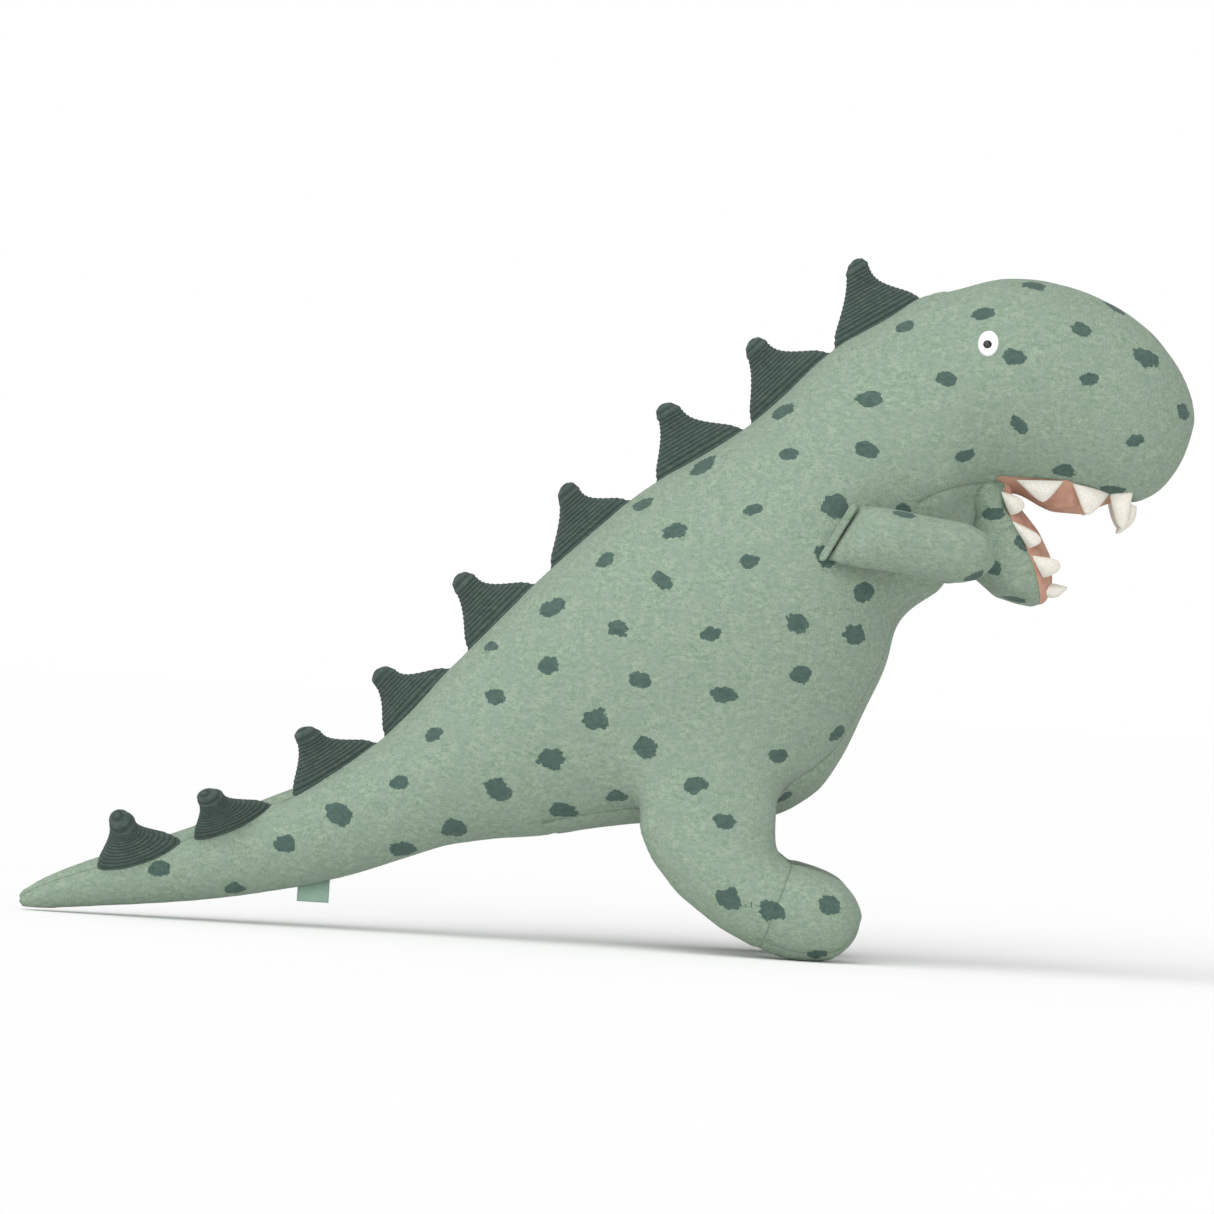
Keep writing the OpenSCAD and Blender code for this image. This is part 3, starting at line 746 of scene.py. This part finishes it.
def spot_places(tree, spots):
    """Centre, two tangents, half size and seed of each spot, found by looking at the skin from each side."""
    rng = random.Random(SPOT_SEED)
    out = []
    for side in SIDES.values():
        for x, z in spots:
            if side > 0:
                x += rng.uniform(*LEFT_X_RANGE)
                z += rng.uniform(*LEFT_Z_RANGE)
            place, normal, _, _ = tree.ray_cast(Vector((x * MM, side, z * MM)), Vector((0, -side, 0)))
            half = rng.uniform(*HALF_RANGE) * MM
            tilt = math.radians(rng.uniform(*TILT_RANGE))
            if place is None:
                continue
            across = (Vector((1, 0, 0)) - normal * normal.x).normalized()
            up = normal.cross(across) * side
            turned = across * math.cos(tilt) + up * math.sin(tilt)
            out.append((place, turned, normal.cross(turned), half, rng.uniform(*OUTLINE_RANGE)))
    return out


def add_spots(skin, spots):
    """Each point's place in the nearest spot's axes, and that spot's distance, seed and half size."""
    count = len(skin.points)
    local = np.full((count, 3), NO_SPOT)
    facts = np.full((count, 3), NO_SPOT)
    skin.data["spot"] = local
    skin.data["spot_facts"] = facts
    if not spots:
        return
    tree = KDTree(len(spots))
    for i, spot in enumerate(spots):
        tree.insert(spot[0], i)
    tree.balance()
    for i, p in enumerate(skin.points):
        _, k, gap = tree.find(Vector(p))
        centre, u, v, half, seed = spots[k]
        d = Vector(p) - centre
        local[i] = (d.dot(u), d.dot(v), 0)
        facts[i] = (gap, seed, half)


def add_surface_data(skin):
    """Rest place for the yarn's colours, grid for the stitches, and normals that stay smooth across cuts."""
    n = normals(skin)
    skin.data["normal"] = n
    skin.data["rest"] = skin.points.copy()
    rows = skin.points[:, 2] - np.abs(skin.points[:, 1]) * n[:, 2]
    skin.data["grid"] = np.stack([skin.points[:, 0], rows, 0 * rows], 1)


def plane_field(skin, place, line):
    """Distance of each vertex beyond a plane."""
    return (skin.points - np.array(place)) @ np.array(line)


def leg_plane(side):
    """Start of the leg's bend and its direction, towards the foot."""
    flip = Vector((1, SIDES[side], 1))
    outer, inner = LEG_OUTER_EDGE * flip, LEG_INNER_EDGE * flip
    edge = (inner - outer).normalized()
    down = Vector((1, 0, 0)).cross(edge)
    if down.z > 0:
        down = -down
    return outer, down


whole = whole_skin()
add_seams(whole)
add_surface_data(whole)
whole_tree = whole.tree()
add_spots(whole, spot_places(whole_tree, SPOTS))

# ---- Cutting the skin where its bends begin ----

neck, tail, tip = joint_place("neck_nod"), joint_place("tail_bend"), joint_place("tip_bend")
rest, head_skin = cut(whole, plane_field(whole, neck + NECK_LINE * NECK_START, NECK_LINE))
behind, rest = cut(rest, plane_field(rest, tail + TAIL_LINE * TAIL_BEND, TAIL_LINE))
tip_skin, tail_skin = cut(behind, plane_field(behind, tip + TIP_LINE * TIP_BEND, TIP_LINE))

leg_skins = {}
for side in SIDES:
    start, down = leg_plane(side)
    field = np.minimum(plane_field(rest, start, down), plane_field(rest, (LEG_BACK, 0, 0), (1, 0, 0)))
    field = np.minimum(field, rest.points[:, 1] * SIDES[side])
    rest, leg_skins[side] = cut(rest, field)
torso_skin = rest


def soft_piece(name, skin, material, nodes):
    piece = make_object(name, skin, material)
    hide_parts(*nodes)
    return piece


torso = soft_piece("torso_skin", torso_skin, KNIT, BODY_PARTS)
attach(torso, "torso")

cover_part, palate_part = cut(head_skin, head_skin.data["lining"])
head_nodes = [n for n in HEAD_PARTS if n != "palate_lining"]
head_cover = soft_piece("head_skin", cover_part, KNIT, head_nodes)
palate = soft_piece("palate", palate_part, LINING, ["palate_lining"])
for piece in (head_cover, palate):
    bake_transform(piece)

tail_piece = soft_piece("tail_skin", tail_skin, KNIT, TAIL_PARTS)
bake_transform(tail_piece)
tip_piece = soft_piece("tail_tip_skin", tip_skin, KNIT, TIP_PARTS)
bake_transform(tip_piece)

for side, skin in leg_skins.items():
    toe_nodes, sole_nodes = [f"{side}_toe_cap"], [f"{side}_sole"]
    shank_nodes = [f"{side}_leg_outer", f"{side}_leg_inner"]
    foot_field = distances(skin.points, shank_nodes) - distances(skin.points, toe_nodes + sole_nodes)
    shank, foot = cut(skin, foot_field)
    toe, sole = cut(foot, distances(foot.points, toe_nodes) - distances(foot.points, sole_nodes))
    start, down = leg_plane(side)
    for part, part_skin, nodes in (
            ("leg_skin", shank, shank_nodes + [f"{side}_leg_stuffing"]), ("toe_cap_skin", toe, toe_nodes),
            ("sole_skin", sole, sole_nodes)):
        piece = soft_piece(f"{side}_{part}", part_skin, KNIT, nodes)
        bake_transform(piece)


# ---- Arms, jaw, teeth: small closed skins ----

def small_skin(nodes, voxel, closing, rounds, more=()):
    skin = Skin(*closed_surface(*joined([node_arrays(n) for n in nodes] + list(more)), voxel, closing))
    smooth(skin, rounds)
    return skin


def add_knit_data(skin, spots, seam_gap):
    add_surface_data(skin)
    skin.data["seam"] = seam_data(seam_gap)
    add_spots(skin, spot_places(skin.tree(), spots))


ARM_SPOTS = [(170, 268), (192, 279), (214, 233)]
# The seam allowance behind the arm and the arm's root lean forward; the allowance is a thinner fold than its
# CAD solid, and stands a little further forward and out
FLANGE_SLOPE = math.tan(math.radians(19))
FLANGE_SHARE = 0.85
FLANGE_FORWARD = 2.5 * MM
FLANGE_OUT = 1.35
ROOT_END = 168 * MM
ROOT_LENGTH = 28 * MM
for side in SIDES:
    nodes = [f"{side}_arm_cover", f"{side}_arm_stuffing"]
    skin = small_skin(nodes, voxel=1.6 * MM, closing=3 * MM, rounds=25)
    centre = sum(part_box(f"{side}_arm_seam"), Vector()) / 2
    lean = np.clip((ROOT_END - skin.points[:, 0]) / ROOT_LENGTH, 0, 1)
    skin.points[:, 0] += (skin.points[:, 2] - centre.z) * FLANGE_SLOPE * lean
    add_knit_data(skin, ARM_SPOTS, np.full(len(skin.points), NO_SEAM))
    arm = soft_piece(f"{side}_arm_skin", skin, KNIT, nodes)
    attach(arm, f"{side}_arm")
    flange_node = f"{side}_arm_seam"
    skin = small_skin([flange_node], voxel=0.7 * MM, closing=1 * MM, rounds=8)
    fold = centre.x + FLANGE_FORWARD + (skin.points[:, 2] - centre.z) * FLANGE_SLOPE
    skin.points[:, 0] = fold + (skin.points[:, 0] - centre.x) * FLANGE_SHARE
    skin.points[:, 1] = centre.y + (skin.points[:, 1] - centre.y) * FLANGE_OUT
    add_knit_data(skin, [], np.full(len(skin.points), NO_SEAM))
    flange = soft_piece(f"{side}_shoulder_allowance", skin, KNIT, [flange_node])
    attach(flange, "torso")

JAW_SPOTS = [(225, 272), (243, 256), (226, 240), (240, 222)]
JAW_SEAM_DEPTH = 0.9 * MM
# The roll at the mouth's corner sits this far under the jaw's axis
JAW_ROLL_DROP = Vector((0, 0, 4)) * MM

jaw_roll = roll(joint_place("jaw_open") - JAW_ROLL_DROP, JAW_ROLL)
jaw_whole = small_skin(["jaw_cover", "jaw_lining", "jaw_stuffing"], voxel=1.6 * MM, closing=4 * MM, rounds=20,
                       more=[jaw_roll])
jaw_line = distances(jaw_whole.points, ["jaw_cover"]) - distances(jaw_whole.points, ["jaw_lining"])
jaw_whole.points -= normals(jaw_whole) * valley(jaw_line, JAW_SEAM_DEPTH)[:, None]
add_knit_data(jaw_whole, JAW_SPOTS, jaw_line)
cover_part, lining_part = cut(jaw_whole, jaw_line)
jaw = soft_piece("jaw_skin", cover_part, KNIT, ["jaw_cover", "jaw_stuffing"])
jaw_bed = soft_piece("jaw_lining_pad", lining_part, LINING, ["jaw_lining"])
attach(jaw, "jaw")
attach(jaw_bed, "jaw")

# Side teeth, each as (x, z) of its two roots and (x, y, z) of its tip, in millimetres
UPPER_TEETH = [((237, 293), (266, 294), (254, 25, 281)), ((271, 293), (294, 288), (281, 22, 275)),
               ((294, 288), (310, 282), (303, 17, 268))]
LOWER_TEETH = [((229, 286), (236, 272), (243, 25, 280)), ((237, 269), (248, 253), (254, 25, 260)),
               ((250, 249), (258, 236), (267, 21, 245))]
# Front teeth: middle of the root, half width across, tip
UPPER_FRONT = ((308, 9, 283), 6, (301, 9, 265))
LOWER_FRONT = ((259, 6, 229), 6, (273, 5, 231))
# Radius of the round tips
TIP_OF = {"upper": 3.6 * MM, "lower": 4.6 * MM, "front": 5.0 * MM}
TOOTH_ROUND = 28
TOOTH_ROWS = 16
# Half a tooth's thickness, and the shares of it at the root and added in the middle
TOOTH_HALF = 3.3 * MM
ROOT_SHARE = 0.75
SWELL_SHARE = 0.6
SWELL_START = 0.15
# How a tooth narrows, how blunt its end is, and how far it bows out
TOOTH_TAPER = 1.15
TOOTH_BLUNT = 4
TOOTH_BOW = 1.2 * MM


def tooth_rings(a, b, tip, out, radius):
    """A puffed tooth: flat ovals from the root line to a round tip."""
    middle = (a + b) / 2
    along = (b - a).normalized()
    side = (tip - middle).cross(along).normalized()
    if side.dot(out) < 0:
        side = -side
    taper = max((b - a).length / 2 - radius, 0)
    pts = []
    for row in range(TOOTH_ROWS + 1):
        t = row / TOOTH_ROWS
        end = math.sqrt(max(1 - t ** TOOTH_BLUNT, 0))
        half = taper * (1 - t) ** TOOTH_TAPER + radius * end
        swell = math.sin(math.pi * min(t + SWELL_START, 1))
        thick = TOOTH_HALF * (ROOT_SHARE + SWELL_SHARE * swell) * end
        centre = middle.lerp(tip, t) + side * TOOTH_BOW * math.sin(math.pi * t)
        pts += oval(centre, along * half, side * thick, TOOTH_ROUND)
    return pts


def teeth_skin(teeth, radius):
    pts, faces = [], []
    for a, b, tip, out in teeth:
        faces += tube_faces(TOOTH_ROWS, TOOTH_ROUND, len(pts))
        pts += tooth_rings(a, b, tip, out, radius)
    return modelled_skin(pts, faces)


# How far under the skin a tooth's root lies, and how far out to look where the side view misses the skin
ROOT_DEPTH = 0.5 * MM
ROOT_OUT = 24 * MM


def on_side(tree, x, z, sign):
    """Point of a skin seen from one side, a little under its surface."""
    place, normal, _, _ = tree.ray_cast(Vector((x * MM, sign, z * MM)), Vector((0, -sign, 0)))
    if place is None:
        place, normal, _, _ = tree.find_nearest(Vector((x * MM, sign * ROOT_OUT, z * MM)))
    return place - normal * ROOT_DEPTH


def side_teeth(tree, rows, sign):
    out = Vector((0, sign, 0))
    return [(on_side(tree, *a, sign), on_side(tree, *b, sign), Vector((x, y * sign, z)) * MM, out)
            for a, b, (x, y, z) in rows]


def front_teeth(row):
    (x, y, z), half, (tip_x, tip_y, tip_z) = row
    return [(Vector((x, sign * (y - half), z)) * MM, Vector((x, sign * (y + half), z)) * MM,
             Vector((tip_x, sign * tip_y, tip_z)) * MM, Vector((1, 0, 0))) for sign in SIDES.values()]


jaw_tree = jaw_whole.tree()
for where, body, tree, rows, front in (("upper", "head", whole_tree, UPPER_TEETH, UPPER_FRONT),
                                       ("lower", "jaw", jaw_tree, LOWER_TEETH, LOWER_FRONT)):
    groups = {side: side_teeth(tree, rows, sign) for side, sign in SIDES.items()}
    groups["front"] = front_teeth(front)
    for group, teeth in groups.items():
        node = f"{where}_teeth_{group}"
        shape = teeth_skin(teeth, TIP_OF["front" if group == "front" else where])
        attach(soft_piece(f"{node}_felt", shape, FELT, [node]), body)


# ---- Spikes ----

RIDGE_PITCH = 2.4 * MM
RIDGE_DEPTH = 0.55 * MM
STEPS_A_RIDGE = 5
SPIKE_ROUND = 56
# Girth that the knit's columns are counted on
SPIKE_GIRTH = 90 * MM
# Half thickness of the base, radius of the round tip, and how far the tip rises over its CAD solid
SPIKE_BASE = 9 * MM
SPIKE_TIP = 8.0 * MM
SPIKE_RISE = 3.0 * MM
# How far the base runs on past its CAD solid; the foremost spike runs on to the neck
SPIKE_FORWARD = {9: 19 * MM}
SPIKE_BACK = {9: 6 * MM}
OTHER_FORWARD = 3 * MM
OTHER_BACK = 1 * MM
# Vertices of the CAD solid that count as its base and as its tip
BASE_NEAR = 1.6 * MM
TIP_NEAR = 1.5 * MM
# Share of the height below the round tip, and share of the rows that have ridges
CONE_SHARE = 0.86
RIDGED_SHARE = 0.97
# How far the cone is drawn in at the back, the front and the sides, most of it low down
PINCH_POWER = 1.6
BACK_PINCH = 2.0 * MM
FRONT_PINCH = 5.0 * MM
SIDE_PINCH = 1.2 * MM
# Share of the cone that is held to the skin, and how far under the skin it starts
HELD_SHARE = 0.25
BASE_SINK = 1.5 * MM
LEAST_RADIUS = 0.1 * MM


def spike_axes(number):
    """Middle, direction, back end and front end of a spike's base, and the end of its tip."""
    points, _ = node_arrays(f"spike_{number}")
    away = np.array([whole_tree.find_nearest(Vector(p))[3] for p in points])
    low = points[away < BASE_NEAR]
    middle = Vector(low.mean(0))
    line = Vector(np.linalg.svd(low - low.mean(0))[2][0])
    line = line if line.x > 0 else -line
    along = (low - low.mean(0)) @ np.array(line)
    back = middle + line * (float(along.min()) - SPIKE_BACK.get(number, OTHER_BACK))
    front = middle + line * (float(along.max()) + SPIKE_FORWARD.get(number, OTHER_FORWARD))
    end = Vector(points[away > away.max() - TIP_NEAR].mean(0))
    return middle, line, back, front, end + (end - middle).normalized() * SPIKE_RISE


def spike_skin(number):
    """Ridged cone with a round tip, whose lowest rings follow the skin."""
    middle, line, back, front, end = spike_axes(number)
    up = (end - middle).normalized()
    side = line.cross(whole_tree.find_nearest(middle)[1]).normalized()
    tip = end - up * SPIKE_TIP
    ridges = round((end - middle).length / RIDGE_PITCH)
    rows = ridges * STEPS_A_RIDGE
    pts, wave = [], []
    for row in range(rows + 1):
        share = row / rows
        groove = (1 - math.cos(2 * math.pi * share * ridges)) / 2
        rise = min(share / CONE_SHARE, 1.0)
        pinch = math.sin(math.pi * rise ** PINCH_POWER)
        a = back.lerp(tip - line * SPIKE_TIP, rise) + line * BACK_PINCH * pinch
        b = front.lerp(tip + line * SPIKE_TIP, rise) - line * FRONT_PINCH * pinch
        centre = (a + b) / 2
        half = (b - a).length / 2
        thick = SPIKE_BASE + (SPIKE_TIP - SPIKE_BASE) * rise - SIDE_PINCH * pinch
        if share > CONE_SHARE:
            turn = (share - CONE_SHARE) / (1 - CONE_SHARE) * math.pi / 2
            half = thick = SPIKE_TIP * math.cos(turn)
            centre = tip + up * SPIKE_TIP * math.sin(turn)
        sink = RIDGE_DEPTH * groove if share < RIDGED_SHARE else 0
        half = max(half - sink, LEAST_RADIUS)
        thick = max(thick - sink, LEAST_RADIUS)
        for p in oval(centre, -line * half, -side * thick, SPIKE_ROUND):
            if rise < HELD_SHARE:
                ground, out, _, _ = whole_tree.find_nearest(p)
                hold = 1 - rise / HELD_SHARE
                p = p.lerp(ground - out * BASE_SINK, hold * hold)
            pts.append(p)
        wave.append(1 - groove)
    skin = modelled_skin(pts, turned_over(tube_faces(rows, SPIKE_ROUND)))
    # Height of the ridges, which the spike's material turns into painted shade in the valleys
    skin.data["ridge"] = np.repeat(np.array(wave), SPIKE_ROUND)
    around = np.tile(np.arange(SPIKE_ROUND) / SPIKE_ROUND, rows + 1) * SPIKE_GIRTH
    height = np.repeat(np.arange(rows + 1), SPIKE_ROUND) / STEPS_A_RIDGE * RIDGE_PITCH
    skin.data["grid"] = np.stack([around, height, 0 * around], 1)
    return skin


SPIKE_BODY = {1: "tail_tip", 2: "tail_tip", 3: "tail", 4: "tail"}
for number in range(1, 10):
    skin = spike_skin(number)
    spike = soft_piece(f"back_spike_{number}", skin, SPIKE, [f"spike_{number}"])
    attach(spike, SPIKE_BODY.get(number, "torso"))


# ---- Eyes ----

EYE_RINGS = 12
EYE_ROUND = 48
# Outline of the white as shares of its CAD width; thickness, height over the skin and squareness of each pad
WHITE_WIDTH = 1.06
WHITE_HEIGHT = 1.42
WHITE_PAD = (1.3 * MM, 0.2 * MM, 5)
BEAD_PAD = (1.5 * MM, 1.2 * MM, 2)
PUPIL_SHIFT = Vector((-0.4, 0, -1.3)) * MM
# How far the rim is tucked in, and how near points are merged
RIM_TUCK = 0.6 * MM
MERGE = 0.005 * MM


def dome(place, normal, width, height, pad):
    """A pad with an oval outline that follows the skin."""
    thick, lift, edge = pad
    up = (Vector((0, 0, 1)) - normal * normal.z).normalized()
    across = up.cross(normal).normalized()
    pts = []
    for row in range(EYE_RINGS + 1):
        r = row / EYE_RINGS
        top = lift + thick * pow(max(1 - pow(r, edge), 0.0), 0.5) - (RIM_TUCK if row == EYE_RINGS else 0)
        for p in oval(place, across * width / 2 * r, up * height / 2 * r, EYE_ROUND):
            pts.append(whole_tree.find_nearest(p)[0] + normal * top)
    work = bmesh.new()
    made = [work.verts.new(p) for p in pts]
    for face in tube_faces(EYE_RINGS, EYE_ROUND):
        work.faces.new([made[i] for i in face])
    bmesh.ops.remove_doubles(work, verts=work.verts, dist=MERGE)
    work.verts.index_update()
    skin = modelled_skin([v.co for v in work.verts], [[v.index for v in f.verts] for f in work.faces])
    work.free()
    return skin


def size_of(node):
    low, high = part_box(node)
    return (low + high) / 2, high - low


for side in SIDES:
    centre, size = size_of(f"{side}_eye")
    place, normal, _, _ = whole_tree.find_nearest(centre)
    white = dome(place, normal, size.x * WHITE_WIDTH, size.x * WHITE_HEIGHT, WHITE_PAD)
    eye = soft_piece(f"{side}_eye_patch", white, EYE_FELT, [f"{side}_eye"])
    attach(eye, "head")
    _, size = size_of(f"{side}_pupil")
    bead = dome(place + PUPIL_SHIFT, normal, size.x, size.x, BEAD_PAD)
    pupil = make_object(f"{side}_eye_bead", bead, BEAD)
    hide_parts(f"{side}_pupil")
    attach(pupil, "head")


# ---- Ribbon loop ----

# How far the loop's ends reach up into the tail's seam
LOOP_ROOT = 6 * MM
# Radius and thickness of its fold, points round the fold, columns across, and how far it waves
LOOP_HALF = 1.5 * MM
LOOP_THICK = 0.5 * MM
LOOP_TURN = 13
LOOP_COLUMNS = 10
LOOP_WAVE = 0.8 * MM
LOOP_WAVES = 1.5


def ribbon_skin():
    low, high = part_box("label_loop")
    middle = (low + high) / 2
    width = high.x - low.x
    top = high.z + LOOP_ROOT
    drop = top - low.z
    axis = low.z + LOOP_HALF
    turns = np.linspace(0, -math.pi, LOOP_TURN)
    turn = [(LOOP_HALF * math.cos(a), axis + LOOP_HALF * math.sin(a)) for a in turns]
    line = [(LOOP_HALF, top)] + turn + [(-LOOP_HALF, top)]
    last = len(line) - 1
    inner = [(y * (1 - LOOP_THICK / LOOP_HALF), z + (LOOP_THICK if 0 < i < last else 0))
             for i, (y, z) in enumerate(line)]
    outline = line + inner[::-1]
    n = len(outline)
    pts, faces = [], []
    for k in range(LOOP_COLUMNS + 1):
        share = k / LOOP_COLUMNS
        for y, z in outline:
            wave = LOOP_WAVE * math.sin(2 * math.pi * LOOP_WAVES * share) * (top - z) / drop
            pts.append((low.x + width * share, middle.y + y + wave, z))
    for k in range(LOOP_COLUMNS):
        for j in range(n):
            m = (j + 1) % n
            faces.append((k * n + j, k * n + m, (k + 1) * n + m, (k + 1) * n + j))
    for k, flip in ((0, 1), (LOOP_COLUMNS, -1)):
        for j in range(n // 2 - 1):
            quad = (k * n + j, k * n + n - 1 - j, k * n + n - 2 - j, k * n + j + 1)
            faces.append(quad[::flip])
    return modelled_skin(pts, faces), (width, 2 * (drop - LOOP_HALF) + math.pi * LOOP_HALF)


skin, flat_size = ribbon_skin()
ribbon = make_object("ribbon_loop", skin, RIBBON)
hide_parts("label_loop")
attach(ribbon, "tail")

# ---- Floor, light and camera ----

# The camera looks along y, rolled as the toy is turned from the photo; the sensor is in millimetres
CAMERA_ROLL = math.radians(3.5)
VIEW_CENTRE = Vector((-1.8 * MM, 0, 202.6 * MM))
VIEW_WIDTH = 728.4 * MM
VIEW_DISTANCE = 5.0
VIEW_END = 100
SENSOR = 36.0
FLOOR_HALF = 12.0
FLOOR_STEPS = 24
FLOOR_COLOURS = [(0.93, 0.93, 0.93, 1), (0.95, 0.95, 0.95, 1)]
FLOOR_CLOUD = 0.5
# Suns, each as the direction it stands in, its power and its width in degrees
KEY_SUN = ((-0.5, -0.6, 1.0), 1.9, 70)
FRONT_SUN = ((0.05, -1.0, 0.2), 1.35, 60)
# Brightness of the backdrop as seen, and as it lights the toy
WORLD_SEEN = 1.0
WORLD_GIVEN = 0.5


def add_floor():
    edge = [FLOOR_HALF * (2 * i / FLOOR_STEPS - 1) for i in range(FLOOR_STEPS + 1)]
    pts = [(x, y, 0) for y in edge for x in edge]
    faces = []
    for j in range(FLOOR_STEPS):
        for i in range(FLOOR_STEPS):
            a = j * len(edge) + i
            b = a + len(edge)
            faces.append((a, a + 1, b + 1, b))
    mesh = bpy.data.meshes.new("floor")
    mesh.from_pydata(pts, [], faces)
    floor = placed("floor", mesh)
    look = Look("floor_paint", roughness=0.9, sheen=0.0, specular=0.1)
    place = look.node("ShaderNodeTexCoord").outputs["Object"]
    cloud = look.noise(place, FLOOR_CLOUD)
    look.finish(look.mix(cloud, *FLOOR_COLOURS), cloud, 0.1 * MM, 0.1)
    mesh.materials.append(look.material)


def add_sun(name, place, power, softness):
    """Light from a wide, soft source that stands in a direction."""
    data = bpy.data.lights.new(name, "SUN")
    data.energy = power
    data.angle = math.radians(softness)
    light = placed(name, data)
    light.rotation_euler = (-Vector(place)).to_track_quat("-Z", "Y").to_euler()


def add_world(seen, given):
    """Backdrop of one brightness that gives light of another."""
    world = bpy.data.worlds.new("studio")
    world.use_nodes = True
    tree = world.node_tree
    background = tree.nodes["Background"]
    background.inputs[0].default_value = (1, 1, 1, 1)
    path = tree.nodes.new("ShaderNodeLightPath")
    level = tree.nodes.new("ShaderNodeMapRange")
    level.inputs["To Min"].default_value = given
    level.inputs["To Max"].default_value = seen
    tree.links.new(path.outputs["Is Camera Ray"], level.inputs["Value"])
    tree.links.new(level.outputs[0], background.inputs[1])
    bpy.context.scene.world = world


def add_camera():
    data = bpy.data.cameras.new("camera")
    data.sensor_width = SENSOR
    data.lens = SENSOR * VIEW_DISTANCE / VIEW_WIDTH
    data.clip_end = VIEW_END
    camera = placed("camera", data)
    right = Vector((math.cos(CAMERA_ROLL), 0, math.sin(CAMERA_ROLL)))
    up = Vector((-math.sin(CAMERA_ROLL), 0, math.cos(CAMERA_ROLL)))
    back = right.cross(up)
    turn = Matrix((right, up, back)).transposed().to_4x4()
    camera.matrix_world = Matrix.Translation(VIEW_CENTRE + back * VIEW_DISTANCE) @ turn
    bpy.context.scene.camera = camera


add_floor()
add_sun("key", *KEY_SUN)
add_sun("front", *FRONT_SUN)
add_world(WORLD_SEEN, WORLD_GIVEN)
bpy.context.scene.view_settings.view_transform = "Standard"
add_camera()
